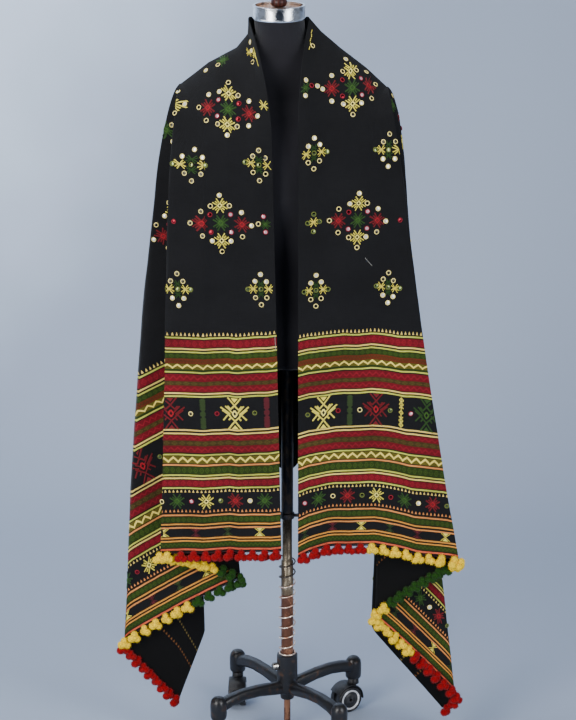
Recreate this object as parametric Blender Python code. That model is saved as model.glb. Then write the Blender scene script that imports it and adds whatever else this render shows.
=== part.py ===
"""Handloom shawl draped over a limbless dress form on a wheeled stand.

Metres, +Z up, the front toward -Y. The stand's post is on the Z axis and the casters
stand on Z = 0. The shawl hangs from one ridge line over each shoulder. In front of the
ridge its warp hangs down, behind it its weft does, and the quarter of cloth past the
shoulder's end hangs in a fan of folds.
"""

import math

import bmesh
import bpy
from mathutils import Matrix, Vector

# The shawl, laid flat. s runs along it from the middle, t across it from the neck edge.
SHAWL_WIDTH = 0.94
SHAWL_HALF_LENGTH = 1.19
CLOTH_THICKNESS = 0.002
SEAM_GAP = 0.0003
SHOULDER_DROP = 0.20

# The ridge over each shoulder, the left one first: cloth coordinates and place.
# name, s, t, x, z, collar share
LEFT_RIDGE = [
    ("neck", 0.120, 0.000, 0.060, 1.530, 1.0),
    ("collar", 0.152, 0.022, 0.065, 1.499, 0.9),
    ("foot", 0.185, 0.048, 0.090, 1.471, 0.4),
    ("slope", 0.223, 0.102, 0.150, 1.441, 0.0),
    ("tip", 0.262, 0.155, 0.209, 1.398, 0.0),
]
RIGHT_RIDGE = [
    ("neck", 0.120, 0.000, 0.060, 1.530, 1.0),
    ("collar", 0.152, 0.022, 0.080, 1.503, 0.9),
    ("foot", 0.185, 0.048, 0.114, 1.4705, 0.4),
    ("slope", 0.223, 0.102, 0.162, 1.431, 0.0),
    ("tip", 0.262, 0.155, 0.201, 1.392, 0.0),
]
RIDGES = {-1: LEFT_RIDGE, 1: RIGHT_RIDGE}
NECK_BACK = (0.0, 0.072, 1.470)

# The form's neck leans to its right, and the cloth on it goes with it.
LEAN_FROM = 1.30
LEAN_TOP = 1.53
NECK_LEAN = 0.0165

# The folds from the front edge round to the middle of the back. s and t are where the
# fold meets the cloth's edge, arm and hem are its plan places high up and at that edge, sag
# is how much lower it hangs, and round is the share of each side that its bend takes up.
# name, s, t, arm x, arm y, hem x, hem y, sag, round
LEFT_FOLDS = [
    ("front edge", 1.19, 0.00, 0.036, -0.118, 0.012, -0.150, -0.005, 0.00),
    ("inner bow", 1.19, 0.085, 0.104, -0.108, 0.099, -0.144, 0.012, 0.00),
    ("panel", 1.19, 0.155, 0.160, -0.100, 0.172, -0.138, 0.015, 0.00),
    ("front fold", 1.19, 0.24, 0.228, -0.074, 0.268, -0.128, 0.014, 0.14),
    ("inner pleat", 1.19, 0.46, 0.205, -0.056, 0.086, -0.084, 0.010, 0.10),
    ("outer fold", 1.19, 0.73, 0.244, -0.036, 0.350, -0.056, 0.010, 0.09),
    ("corner", 1.19, 0.94, 0.222, -0.022, 0.231, -0.026, 0.010, 0.00),
    ("side pleat", 0.99, 0.94, 0.210, -0.008, 0.170, 0.008, 0.008, 0.12),
    ("side fold", 0.75, 0.94, 0.238, 0.012, 0.308, 0.036, 0.004, 0.12),
    ("back pleat", 0.56, 0.94, 0.210, 0.036, 0.196, 0.068, 0.000, 0.14),
    ("back fold", 0.37, 0.94, 0.236, 0.066, 0.300, 0.112, 0.000, 0.14),
    ("back trough", 0.19, 0.94, 0.110, 0.104, 0.140, 0.130, 0.000, 0.30),
    ("middle", 0.00, 0.94, 0.000, 0.118, 0.000, 0.156, 0.000, 0.00),
]
RIGHT_FOLDS = [
    ("front edge", 1.19, 0.00, 0.022, -0.118, 0.022, -0.150, 0.010, 0.00),
    ("inner bow", 1.19, 0.065, 0.080, -0.110, 0.088, -0.145, -0.009, 0.00),
    ("panel", 1.19, 0.155, 0.158, -0.100, 0.179, -0.138, -0.009, 0.00),
    ("outer bow", 1.19, 0.245, 0.186, -0.087, 0.271, -0.129, 0.009, 0.00),
    ("front fold", 1.19, 0.33, 0.213, -0.074, 0.358, -0.120, 0.002, 0.11),
    ("inner pleat", 1.19, 0.60, 0.203, -0.056, 0.174, -0.084, 0.004, 0.10),
    ("outer fold", 1.19, 0.88, 0.226, -0.036, 0.357, -0.050, 0.004, 0.10),
    ("corner", 1.19, 0.94, 0.223, -0.030, 0.332, -0.034, 0.004, 0.00),
    ("side pleat", 0.96, 0.94, 0.206, -0.008, 0.170, 0.006, 0.004, 0.12),
    ("side fold", 0.75, 0.94, 0.232, 0.012, 0.306, 0.036, 0.000, 0.12),
    ("back pleat", 0.56, 0.94, 0.206, 0.036, 0.196, 0.068, 0.000, 0.14),
    ("back fold", 0.37, 0.94, 0.226, 0.066, 0.300, 0.112, 0.000, 0.14),
    ("back trough", 0.19, 0.94, 0.110, 0.104, 0.136, 0.142, 0.000, 0.30),
    ("middle", 0.00, 0.94, 0.000, 0.118, 0.000, 0.156, 0.000, 0.00),
]
# How late each side's folds spread as they fall
FLARE = {-1: 0.9, 1: 1.25}
# How many strips of cloth, from its front edge on, are in each front node
LEFT_STRIPS = 47
RIGHT_STRIPS = 49
LEFT_BIAS = 0.080
RIGHT_BIAS = 0.095
ROWS = [0, 0.01, 0.025, 0.05, 0.085, 0.13, 0.19, 0.27, 0.38, 0.51, 0.66, 0.83, 1]

# The trim along each short end
POMPOM_COUNT = 41
POMPOM_SIDES = 3
POMPOM_RADIUS = 0.0095
POMPOM_DROP = 0.0120
POMPOM_LEAN = 0.0020
# Just before a fold the next layer hangs close behind, and pushes the pompoms forward.
FOLD_NEAR = 0.0500
BEND_NEAR = 0.0260
POMPOM_PUSH = 0.0130
TRIM_GAP = 0.0003
TAPE_DEPTH = 0.0035

# The form, from the hip up: height, half width, depth in front, depth behind
TORSO = [
    (0.830, 0.160, 0.092, 0.092),
    (0.836, 0.167, 0.098, 0.098),
    (0.900, 0.165, 0.096, 0.100),
    (0.960, 0.150, 0.086, 0.092),
    (1.030, 0.134, 0.080, 0.082),
    (1.110, 0.150, 0.092, 0.086),
    (1.180, 0.166, 0.106, 0.090),
    (1.250, 0.176, 0.100, 0.092),
    (1.310, 0.188, 0.088, 0.088),
    (1.350, 0.196, 0.074, 0.080),
    (1.378, 0.200, 0.056, 0.062),
    (1.402, 0.184, 0.050, 0.055),
    (1.430, 0.156, 0.048, 0.053),
    (1.449, 0.124, 0.046, 0.052),
    (1.462, 0.0945, 0.046, 0.052),
    (1.482, 0.060, 0.049, 0.054),
    (1.500, 0.052, 0.050, 0.053),
    (1.5282, 0.051, 0.051, 0.051),
]

TORSO_SIDES = 32

# What tops the form: a bright band round the neck, a turned wooden cap and its finial
BAND = (0.0475, 0.0525, 1.5285, 1.5565)
CAP = [(0.0465, 1.5285), (0.0470, 1.5300), (0.0470, 1.5480), (0.0440, 1.5520)]
FINIAL = [(0.0100, 1.5523), (0.0155, 1.5560), (0.0165, 1.5640), (0.0120, 1.5720),
          (0.0150, 1.5800), (0.0170, 1.5890), (0.0140, 1.5980), (0.0060, 1.6030)]

# The post: the form's sleeve slides and turns on the pole, and a collar sets its height
POLE_RADIUS = 0.0102
POLE_FOOT = 0.0920
POLE_TOP = 0.7600
SLEEVE_BORE = 0.0106
SLEEVE_RADIUS = 0.0125
SLEEVE_FOOT = 0.4918
COLLAR_RADIUS = 0.0150
COLLAR_HEIGHT = 0.0110
LEVER_END = 0.0240
LEVER_WIDTH = 0.0080
PLAY = 0.0003

# The spring round the foot of the pole, standing on the hub
SPRING_RADIUS = 0.0152
SPRING_WIRE = 0.0016
SPRING_TURNS = 10.5
SPRING_TOP = 0.3940

# The hub, the foot rod under it and its clamp screw
HUB_RADIUS = 0.0220
HUB_TOP = 0.1740
HUB_FOOT = 0.0720
BOSS_RADIUS = 0.0145
HUB_WAIST = 0.0850
HUB_BORE = 0.0106
HUB_BORE_FOOT = 0.0900
ROD_RADIUS = 0.0070
ROD_FOOT = 0.0200
SCREW_HEIGHT = 0.1480
SCREW_RADIUS = 0.0040
KNOB_RADIUS = 0.0085
KNOB_LENGTH = 0.0110
SCREW_TURN = math.radians(200)

# The four legs and the casters under their tips
LEG_REACH = 0.1800
LEG_START = math.radians(37)
LEG_COUNT = 4
# Each section of a leg: distance out, middle height, half height, half width
LEG = [
    (0.008, 0.098, 0.014, 0.0100),
    (0.035, 0.102, 0.014, 0.0105),
    (0.075, 0.108, 0.0125, 0.0110),
    (0.115, 0.110, 0.012, 0.0115),
    (0.150, 0.106, 0.0125, 0.0125),
    (0.172, 0.099, 0.014, 0.0130),
]
TIP = [(0.0150, 0.0720), (0.0170, 0.0750), (0.0175, 0.1060), (0.0150, 0.1150),
       (0.0095, 0.1205), (0.0030, 0.1220)]
STEM_RADIUS = 0.0045
SOCKET_RADIUS = 0.0048
SOCKET_TOP = 0.1010
STEM_TOP = 0.1007
WHEEL_RADIUS = 0.0290
WHEEL_WIDTH = 0.0130
WHEEL_INSIDE = 0.0060
AXLE_RADIUS = 0.0035
TRAIL = 0.0180
WEB_HALF = 0.0050
WEB_RADIUS = 0.0250
HOOD_INNER = 0.0310
HOOD_OUTER = 0.0340
HOOD_HALF = 0.0185
SHOULDER_RADIUS = 0.0120
# Which way each caster trails, in degrees, from the leg behind on the right round
CASTER_TURNS = [212, 268, 205, 38]


def lerp(a, b, share):
    return a + (b - a) * share


def lean(z):
    """How far the form's middle line has moved sideways at a height."""
    return -NECK_LEAN * (max(z - LEAN_FROM, 0.0) / (LEAN_TOP - LEAN_FROM)) ** 2


def between(table, key, value, column):
    """The column of a table at a value of its rising key column."""
    for low, high in zip(table, table[1:]):
        if value <= high[key] or high is table[-1]:
            share = (value - low[key]) / (high[key] - low[key])
            return lerp(low[column], high[column], share)


def top_of(s, t, side):
    """Where the straight thread that ends at the cloth's edge (s, t) starts.

    Gives its cloth coordinates, its place and its collar share.
    """
    ridge = RIDGES[side]
    tip_s, tip_t = ridge[-1][1], ridge[-1][2]
    if s >= tip_s:
        top_t = min(t, tip_t)
        top_s = between(ridge, 2, top_t, 1)
    elif s >= ridge[0][1]:
        top_s = s
        top_t = between(ridge, 1, s, 2)
    else:
        turn = math.pi / 2 * s / ridge[0][1]
        x = side * ridge[0][3] * math.sin(turn)
        y = NECK_BACK[1] * math.cos(turn)
        z = lerp(ridge[0][4], NECK_BACK[2], math.cos(turn) ** 4)
        return s, 0.0, (x, y, z), 1.0
    x = side * between(ridge, 2, top_t, 3)
    return top_s, top_t, (x, 0.0, between(ridge, 2, top_t, 4)), between(ridge, 2, top_t, 5)


def fold_path(folds, straight=2, turn=4):
    """The cloth's edge from the front edge to the middle of the back, its bends rounded."""
    rows = [Vector(row[1:8]) for row in folds]
    bends = [row[8] for row in folds]
    points = [rows[0]]
    for i in range(1, len(rows)):
        begin = rows[i - 1].lerp(rows[i], bends[i - 1])
        end = rows[i].lerp(rows[i - 1], bends[i])
        points += [begin.lerp(end, k / straight) for k in range(1, straight + 1)]
        if bends[i]:
            leave = rows[i].lerp(rows[i + 1], bends[i])
            for k in range(1, turn + 1):
                share = k / turn
                points.append(end.lerp(rows[i], share).lerp(rows[i].lerp(leave, share), share))
    return points


def along(point):
    """How far a point of the edge lies from the front edge, round the corner."""
    return point[1] + SHAWL_HALF_LENGTH - point[0]


def at_length(points, length):
    """The point of the edge at a distance along it."""
    for low, high in zip(points, points[1:]):
        if length <= along(high) or high is points[-1]:
            return low.lerp(high, (length - along(low)) / (along(high) - along(low)))


def threads(folds, side):
    """Every hanging thread of one half. Those that start on the ridge meet there in pairs."""
    points = fold_path(folds)
    ridge = RIDGES[side]
    stations = [ridge[0]]
    for low, high in zip(ridge, ridge[1:]):
        stations.append([lerp(a, b, 0.5) for a, b in zip(low[1:], high[1:])])
        stations.append(high)
    stations = [tuple(row[-5:]) for row in stations]
    corner = SHAWL_WIDTH + SHAWL_HALF_LENGTH
    front = [row[1] for row in stations]
    back = [corner - row[0] for row in reversed(stations)]
    neck = [corner - ridge[0][1] * share for share in (0.75, 0.5, 0.25, 0.0)]
    fan = [along(p) for p in points if front[-1] + 0.01 < along(p) < back[0] - 0.01]
    found = [at_length(points, length) for length in front + fan + back + neck]
    return [(s, t, side * ax, ay, side * hx, hy, sag) for s, t, ax, ay, hx, hy, sag in found]


def thread_length(thread, side, bias):
    """The hanging length of a thread, its sag and its give on the bias included."""
    top_s, top_t, _, _ = top_of(thread[0], thread[1], side)
    run_s, run_t = thread[0] - top_s, thread[1] - top_t
    turn = 2 * math.atan2(run_t, run_s)
    return math.hypot(run_s, run_t) * (1 + bias * math.sin(turn) ** 2) + thread[6]


def cloth_point(thread, share, side, bias):
    """The place of a point on a thread, a share of the way from its top to the edge."""
    s, t, arm_x, arm_y, hem_x, hem_y, _ = thread
    _, _, top, collar = top_of(s, t, side)
    drop = thread_length(thread, side, bias) * share
    reach = min(drop / SHOULDER_DROP, 1.0)
    ease = lerp(math.sqrt(1 - (1 - reach) ** 2), 1 - (1 - reach) ** 2, collar)
    x = lerp(top[0], lerp(arm_x, hem_x, share ** FLARE[side]), ease)
    y = lerp(top[1], lerp(arm_y, hem_y, share), ease)
    z = top[2] - drop
    return Vector((x + lean(z), y, z))


def drape():
    """The cloth's middle surface, with the trim's tape below its short ends.

    Gives the surface, the faces of each strip of cloth, and the faces of each tape.
    """
    sheet = bmesh.new()
    places = {}
    columns = []
    left = [(thread, -1, LEFT_BIAS) for thread in threads(LEFT_FOLDS, -1)]
    right = [(thread, 1, RIGHT_BIAS) for thread in threads(RIGHT_FOLDS, 1)]
    for thread, side, bias in left + right[-2::-1]:
        shares = list(ROWS)
        if along(thread) < SHAWL_WIDTH + TRIM_GAP:
            length = thread_length(thread, side, bias)
            shares += [1 + below / length for below in (TRIM_GAP, TRIM_GAP + TAPE_DEPTH)]
        column = []
        for share in shares:
            place = cloth_point(thread, share, side, bias)
            key = tuple(round(value, 6) for value in place)
            if key not in places:
                places[key] = sheet.verts.new(place)
            column.append(places[key])
        columns.append(column)
    strips = []
    tapes = ([], [])
    for number, (low, high) in enumerate(zip(columns, columns[1:])):
        strip = []
        for k in range(min(len(low), len(high)) - 1):
            corners = [low[k], low[k + 1], high[k + 1], high[k]]
            corners = [v for i, v in enumerate(corners) if v != corners[i - 1]]
            strip.append(sheet.faces.new(corners))
        strips.append(strip[:len(ROWS) - 1])
        tapes[number > len(columns) / 2].extend(strip[len(ROWS):])
    sheet.normal_update()
    return sheet, strips, tapes


def wall(faces, thickness, inset):
    """A closed wall round some faces of a surface.

    Where the surface goes on past the faces, their edge draws back by the inset.
    """
    solid = bmesh.new()
    middle = {}
    for face in faces:
        centre = face.calc_center_median()
        for vert in face.verts:
            middle.setdefault(vert, []).append(centre)
    rims = {}
    for vert, centres in middle.items():
        place = vert.co.copy()
        if len(centres) < len(vert.link_faces):
            inward = sum(((c - place).normalized() for c in centres), Vector())
            inward -= vert.normal * inward.dot(vert.normal)
            place += inward.normalized() * inset
        offset = vert.normal * thickness / 2
        rims[vert] = (solid.verts.new(place + offset), solid.verts.new(place - offset))
    edges = {}
    for face in faces:
        solid.faces.new([rims[v][0] for v in face.verts])
        solid.faces.new([rims[v][1] for v in reversed(face.verts)])
        for a, b in zip(face.verts, list(face.verts)[1:] + [face.verts[0]]):
            if (b, a) in edges:
                del edges[(b, a)]
            else:
                edges[(a, b)] = True
    for a, b in edges:
        solid.faces.new([rims[b][0], rims[a][0], rims[a][1], rims[b][1]])
    bmesh.ops.triangulate(solid, faces=solid.faces)
    bmesh.ops.recalc_face_normals(solid, faces=solid.faces)
    return solid


def material(name, colour, roughness, metallic=0.0):
    made = bpy.data.materials.new(name)
    made.use_nodes = True
    shader = made.node_tree.nodes["Principled BSDF"]
    shader.inputs["Base Color"].default_value = (*colour, 1.0)
    shader.inputs["Roughness"].default_value = roughness
    shader.inputs["Metallic"].default_value = metallic
    return made


def add(name, shape, look, smooth_angle=40.0):
    """An object from a bmesh, shaded smooth but for its sharp edges."""
    mesh = bpy.data.meshes.new(name)
    shape.to_mesh(mesh)
    shape.free()
    mesh.materials.append(look)
    mesh.shade_smooth()
    mesh.set_sharp_from_angle(angle=math.radians(smooth_angle))
    made = bpy.data.objects.new(name, mesh)
    bpy.context.scene.collection.objects.link(made)
    return made


def shawl(look, trim_look):
    """The three stretches of the shawl, and the trim along its two short ends."""
    sheet, strips, tapes = drape()
    count = len(strips)
    parts = [("shawl_left", 0, LEFT_STRIPS), ("shawl_back", LEFT_STRIPS, count - RIGHT_STRIPS),
             ("shawl_right", count - RIGHT_STRIPS, count)]
    for name, first, last in parts:
        faces = [face for strip in strips[first:last] for face in strip]
        add(name, wall(faces, CLOTH_THICKNESS, SEAM_GAP * 0.75), look)
    trim("trim_left", tapes[0], LEFT_FOLDS, -1, LEFT_BIAS, trim_look)
    trim("trim_right", tapes[1], RIGHT_FOLDS, 1, RIGHT_BIAS, trim_look)
    sheet.free()


def union(target, others, crossing=False):
    """Joins closed shapes that overlap into the first one, as one body."""
    for other in others:
        cut = target.modifiers.new("union", "BOOLEAN")
        cut.operation = "UNION"
        cut.object = other
        cut.use_self = crossing
        other.hide_render = True
        other.display_type = "WIRE"


def pompom(shape, root, place):
    """Adds a three-sided lock: a point up in the tape, its widest round and a blunt end."""
    top = shape.verts.new(root)
    foot = shape.verts.new(place - Vector((0, 0, POMPOM_RADIUS)))
    ring = []
    for k in range(POMPOM_SIDES):
        turn = Matrix.Rotation(2 * math.pi * (k + 0.5) / POMPOM_SIDES, 3, "Z")
        out = turn @ Vector((0, POMPOM_RADIUS, 0))
        ring.append(shape.verts.new(place + out))
    for a, b in zip(ring, ring[1:] + ring[:1]):
        shape.faces.new((a, b, top))
        shape.faces.new((b, a, foot))


def hem_place(points, side, bias, length, below):
    """A point just past the short end's edge, at a distance along it."""
    s, t, arm_x, arm_y, hem_x, hem_y, sag = at_length(points, length)
    thread = (s, t, side * arm_x, arm_y, side * hem_x, hem_y, sag)
    share = 1 + below / thread_length(thread, side, bias)
    return cloth_point(thread, share, side, bias)


def trim(name, tape, folds, side, bias, look):
    """The pompoms of one short end on their narrow tape, parted from the cloth's edge."""
    points = fold_path(folds)
    made = add(name, wall(tape, CLOTH_THICKNESS, 0.0), look)
    pitch = SHAWL_WIDTH / POMPOM_COUNT
    bends = [row[2] for row in folds if row[0] in ("front fold", "inner pleat", "outer fold")]
    locks = bmesh.new()
    for k in range(POMPOM_COUNT):
        length = (k + 0.5) * pitch
        near = any(-pitch / 2 < bend - length < FOLD_NEAR for bend in bends)
        root = hem_place(points, side, bias, length, TRIM_GAP + TAPE_DEPTH / 2)
        place = hem_place(points, side, bias, length, POMPOM_DROP)
        place.y -= POMPOM_PUSH if near else POMPOM_LEAN
        for bend, outward in zip(bends, (side, -side, side)):
            if abs(bend - length) < BEND_NEAR:
                place.x += outward * POMPOM_PUSH
        pompom(locks, root, place)
    union(made, [add("locks", locks, look)], True)


def ring_of(shape, centre, radius_x, radius_front, radius_back, count):
    """A level ring of points: an ellipse whose front and back depths differ."""
    points = []
    for k in range(count):
        turn = 2 * math.pi * k / count
        deep = radius_back if math.sin(turn) > 0 else radius_front
        place = Vector((radius_x * math.cos(turn), deep * math.sin(turn), 0)) + centre
        points.append(shape.verts.new(place))
    return points


def loft(shape, rings, closed=False):
    """Skins rings of equal count, and caps the two ends."""
    pairs = list(zip(rings, rings[1:] + rings[:1])) if closed else list(zip(rings, rings[1:]))
    for low, high in pairs:
        for k in range(len(low)):
            n = (k + 1) % len(low)
            shape.faces.new((low[k], low[n], high[n], high[k]))
    if not closed:
        shape.faces.new(list(reversed(rings[0])))
        shape.faces.new(rings[-1])
    bmesh.ops.recalc_face_normals(shape, faces=shape.faces)
    return shape


def turned(name, profile, look, count=24, axis=None, closed=False):
    """A round piece from (radius, height) rows; closed makes a ring of the profile."""
    shape = bmesh.new()
    rings = [ring_of(shape, Vector((0, 0, h)), r, r, r, count) for r, h in profile]
    loft(shape, rings, closed)
    if axis:
        shape.transform(axis)
    return add(name, shape, look)


def torso(look):
    """The limbless body of the form, from hip to neck."""
    shape = bmesh.new()
    rings = [ring_of(shape, Vector((lean(z), 0, z)), half, front, back, TORSO_SIDES)
             for z, half, front, back in TORSO]
    loft(shape, rings)
    add("torso", shape, look)


def tube(name, bore, radius, low, high, look, count=24):
    profile = [(radius, low), (radius, high), (bore, high), (bore, low)]
    return turned(name, profile, look, count, closed=True)


def neck(chrome, wood, dark_wood):
    """The bright band, the cap inside it and the finial, on the leaning neck."""
    shift = Matrix.Translation((lean(BAND[2]), 0, 0))
    bore, radius, low, high = BAND
    profile = [(radius, low), (radius, high), (bore, high), (bore, low)]
    turned("neck_band", profile, chrome, 32, shift, True)
    turned("neck_cap", CAP, wood, 32, shift)
    turned("finial", FINIAL, dark_wood, 14, shift)


def box(name, low, high, look, turn=None):
    """A box between two corners, turned about the Z axis if asked."""
    shape = bmesh.new()
    bmesh.ops.create_cube(shape, size=1.0)
    size = Vector(high) - Vector(low)
    middle = (Vector(high) + Vector(low)) / 2
    shape.transform(Matrix.Translation(middle) @ Matrix.Diagonal((*size, 1.0)))
    if turn:
        shape.transform(turn)
    return add(name, shape, look)


def post(steel, black, brass):
    """The pole, the collar that is clamped to it, the form's sleeve and the spring."""
    turned("pole", [(POLE_RADIUS - 0.001, POLE_FOOT), (POLE_RADIUS, POLE_FOOT + 0.001),
                    (POLE_RADIUS, POLE_TOP - 0.001), (POLE_RADIUS - 0.001, POLE_TOP)], steel)
    tube("sleeve", SLEEVE_BORE, SLEEVE_RADIUS, SLEEVE_FOOT, TORSO[0][0] - PLAY, black)
    top = SLEEVE_FOOT - PLAY
    collar = tube("collar", POLE_RADIUS + PLAY, COLLAR_RADIUS, top - COLLAR_HEIGHT, top, black)
    lever = box("lever", (COLLAR_RADIUS - 0.003, -LEVER_WIDTH / 2, top - COLLAR_HEIGHT + 0.003),
                (LEVER_END, LEVER_WIDTH / 2, top - 0.003), black)
    union(collar, [lever])
    spring(brass)


def spring(look):
    """A coil of wire whose first and last turns lie flat enough to stand on the hub."""
    low = HUB_TOP + PLAY + SPRING_WIRE
    steps, sides = 10, 5
    count = int(SPRING_TURNS * steps)
    shape = bmesh.new()
    rings = []
    for k in range(count + 1):
        turn = 2 * math.pi * k / steps
        out = Vector((math.cos(turn), math.sin(turn), 0))
        centre = out * SPRING_RADIUS + Vector((0, 0, lerp(low, SPRING_TOP, k / count)))
        rings.append([shape.verts.new(centre + SPRING_WIRE * (
            out * math.cos(a) + Vector((0, 0, math.sin(a)))))
            for a in (2 * math.pi * n / sides for n in range(sides))])
    loft(shape, rings)
    add("spring", shape, look)


def leg(turn, look):
    """One arched leg, eight-sided, run out from the hub to its tip."""
    shape = bmesh.new()
    corner = 0.4
    outline = [(1, -corner), (1, corner), (corner, 1), (-corner, 1),
               (-1, corner), (-1, -corner), (-corner, -1), (corner, -1)]
    rings = [[shape.verts.new((out, half_wide * a, mid + half_high * b)) for a, b in outline]
             for out, mid, half_high, half_wide in LEG]
    loft(shape, rings)
    shape.transform(turn)
    return add("leg", shape, look)


def base(look):
    """The hub with its bore, and the four legs with their socketed tips, as one casting."""
    hub = turned("base", [(BOSS_RADIUS, HUB_FOOT), (BOSS_RADIUS, HUB_WAIST),
                          (HUB_RADIUS, HUB_WAIST + 0.004), (HUB_RADIUS, HUB_TOP)],
                 look, 24)
    pieces = []
    for k in range(LEG_COUNT):
        turn = Matrix.Rotation(LEG_START + k * math.pi / 2, 4, "Z")
        out = turn @ Matrix.Translation((LEG_REACH, 0, 0))
        pieces.append(leg(turn, look))
        pieces.append(turned("tip", TIP, look, 14, out))
    union(hub, pieces)
    for k in range(LEG_COUNT):
        turn = Matrix.Rotation(LEG_START + k * math.pi / 2, 4, "Z")
        out = turn @ Matrix.Translation((LEG_REACH, 0, 0))
        socket = turned("socket", [(SOCKET_RADIUS, TIP[0][1] - 0.005),
                                   (SOCKET_RADIUS, SOCKET_TOP)], look, 10, out)
        carve(hub, socket)
    bore = turned("bore", [(HUB_BORE, HUB_BORE_FOOT), (HUB_BORE, HUB_TOP + 0.005)], look, 24)
    carve(hub, bore)
    aim = screw_frame()
    carve(hub, turned("screw hole", [(SCREW_RADIUS + PLAY, 0.0), (SCREW_RADIUS + PLAY, 0.03)],
                      look, 10, aim))


def carve(target, cutter):
    """Cuts one shape out of another."""
    cut = target.modifiers.new("cut", "BOOLEAN")
    cut.operation = "DIFFERENCE"
    cut.object = cutter
    cutter.hide_render = True
    cutter.display_type = "WIRE"


def screw_frame():
    """Turns Z to the clamp screw's outward axis at its height."""
    out = Matrix.Rotation(SCREW_TURN, 4, "Z") @ Matrix.Rotation(math.pi / 2, 4, "Y")
    return Matrix.Translation((0, 0, SCREW_HEIGHT)) @ out


def clamp_screw(look):
    """The knob and screw that hold the pole in the hub."""
    tip = POLE_RADIUS + PLAY
    face = HUB_RADIUS + PLAY
    profile = [(SCREW_RADIUS - 0.001, tip), (SCREW_RADIUS, tip + 0.001), (SCREW_RADIUS, face),
               (KNOB_RADIUS, face), (KNOB_RADIUS, face + KNOB_LENGTH - 0.002),
               (KNOB_RADIUS - 0.002, face + KNOB_LENGTH)]
    turned("clamp_screw", profile, look, 14, screw_frame())


def caster(k, look, ring_look):
    """One swivel caster: its fork with stem and hood, and its pair of wheels."""
    place = Matrix.Rotation(LEG_START + k * math.pi / 2, 4, "Z") @ Vector((LEG_REACH, 0, 0))
    heading = Matrix.Rotation(math.radians(CASTER_TURNS[k]), 4, "Z")
    frame = Matrix.Translation(place) @ heading
    axle = frame @ Matrix.Translation((TRAIL, 0, WHEEL_RADIUS)) @ Matrix.Rotation(math.pi / 2, 4, "X")
    web = turned(f"caster_{k + 1}", [(WEB_RADIUS, -WEB_HALF), (WEB_RADIUS, WEB_HALF)], look, 20, axle)
    neck_low = WHEEL_RADIUS + HOOD_INNER - 0.002
    stem = turned("stem", [(SHOULDER_RADIUS, neck_low), (SHOULDER_RADIUS, TIP[0][1] - PLAY),
                           (STEM_RADIUS, TIP[0][1] - PLAY), (STEM_RADIUS, STEM_TOP)], look, 10, frame)
    half = WEB_HALF - 0.0006
    link = box("link", (-0.005, -half, WHEEL_RADIUS), (TRAIL, half, neck_low + 0.004), look, frame)
    union(web, [hood(frame, look), stem, link])
    hole = turned("hole", [(AXLE_RADIUS + PLAY, -0.03), (AXLE_RADIUS + PLAY, 0.03)], look, 10, axle)
    carve(web, hole)
    outer = WHEEL_INSIDE + WHEEL_WIDTH
    half = [(AXLE_RADIUS, WHEEL_INSIDE), (WHEEL_RADIUS, WHEEL_INSIDE),
            (WHEEL_RADIUS, outer - 0.002), (WHEEL_RADIUS - 0.002, outer)]
    profile = [(r, -h) for r, h in reversed(half)] + half
    turned(f"wheels_{k + 1}", profile, ring_look, 24, axle)


def hood(frame, look):
    """The arched cover over a caster's wheels."""
    shape = bmesh.new()
    steps = 8
    rings = []
    for k in range(steps + 1):
        turn = math.radians(lerp(-5, 150, k / steps))
        out = Vector((-math.cos(turn), 0, math.sin(turn)))
        centre = Vector((TRAIL, 0, WHEEL_RADIUS))
        rings.append([shape.verts.new(centre + out * radius + Vector((0, wide, 0)))
                      for radius, wide in ((HOOD_INNER, -HOOD_HALF), (HOOD_INNER, HOOD_HALF),
                                           (HOOD_OUTER, HOOD_HALF), (HOOD_OUTER, -HOOD_HALF))])
    loft(shape, rings)
    shape.transform(frame)
    return add("hood", shape, look)


def clear_scene():
    for thing in list(bpy.data.objects):
        bpy.data.objects.remove(thing, do_unlink=True)


def main():
    clear_scene()
    wool = material("wool", (0.008, 0.008, 0.011), 0.9)
    red = material("pompom wool", (0.45, 0.01, 0.015), 0.95)
    jersey = material("form jersey", (0.018, 0.018, 0.022), 0.85)
    chrome = material("chrome", (0.75, 0.76, 0.78), 0.08, 1.0)
    wood = material("wood", (0.35, 0.16, 0.07), 0.5)
    dark_wood = material("dark wood", (0.06, 0.02, 0.015), 0.4)
    steel = material("aged steel", (0.22, 0.17, 0.12), 0.4, 1.0)
    brass = material("spring wire", (0.45, 0.27, 0.17), 0.3, 1.0)
    black = material("black enamel", (0.012, 0.012, 0.014), 0.45)
    shawl(wool, red)
    torso(jersey)
    neck(chrome, wood, dark_wood)
    post(steel, black, brass)
    base(black)
    turned("foot_rod", [(ROD_RADIUS, ROD_FOOT), (ROD_RADIUS, HUB_FOOT - PLAY)], steel, 16)
    clamp_screw(black)
    for k in range(LEG_COUNT):
        caster(k, black, black)


main()
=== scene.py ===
"""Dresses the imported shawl, dress form and stand, and sets them in a small photo studio.

The cloth is laid over the form by the same hanging threads as its solid. Every stripe, star,
mirror and pompom is placed on the flat cloth first: u runs along it from the middle, v across
it from the neck edge, both in metres.
"""
import math
from bisect import bisect_left

import bmesh
import bpy
from mathutils import Matrix, Vector, noise


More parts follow.
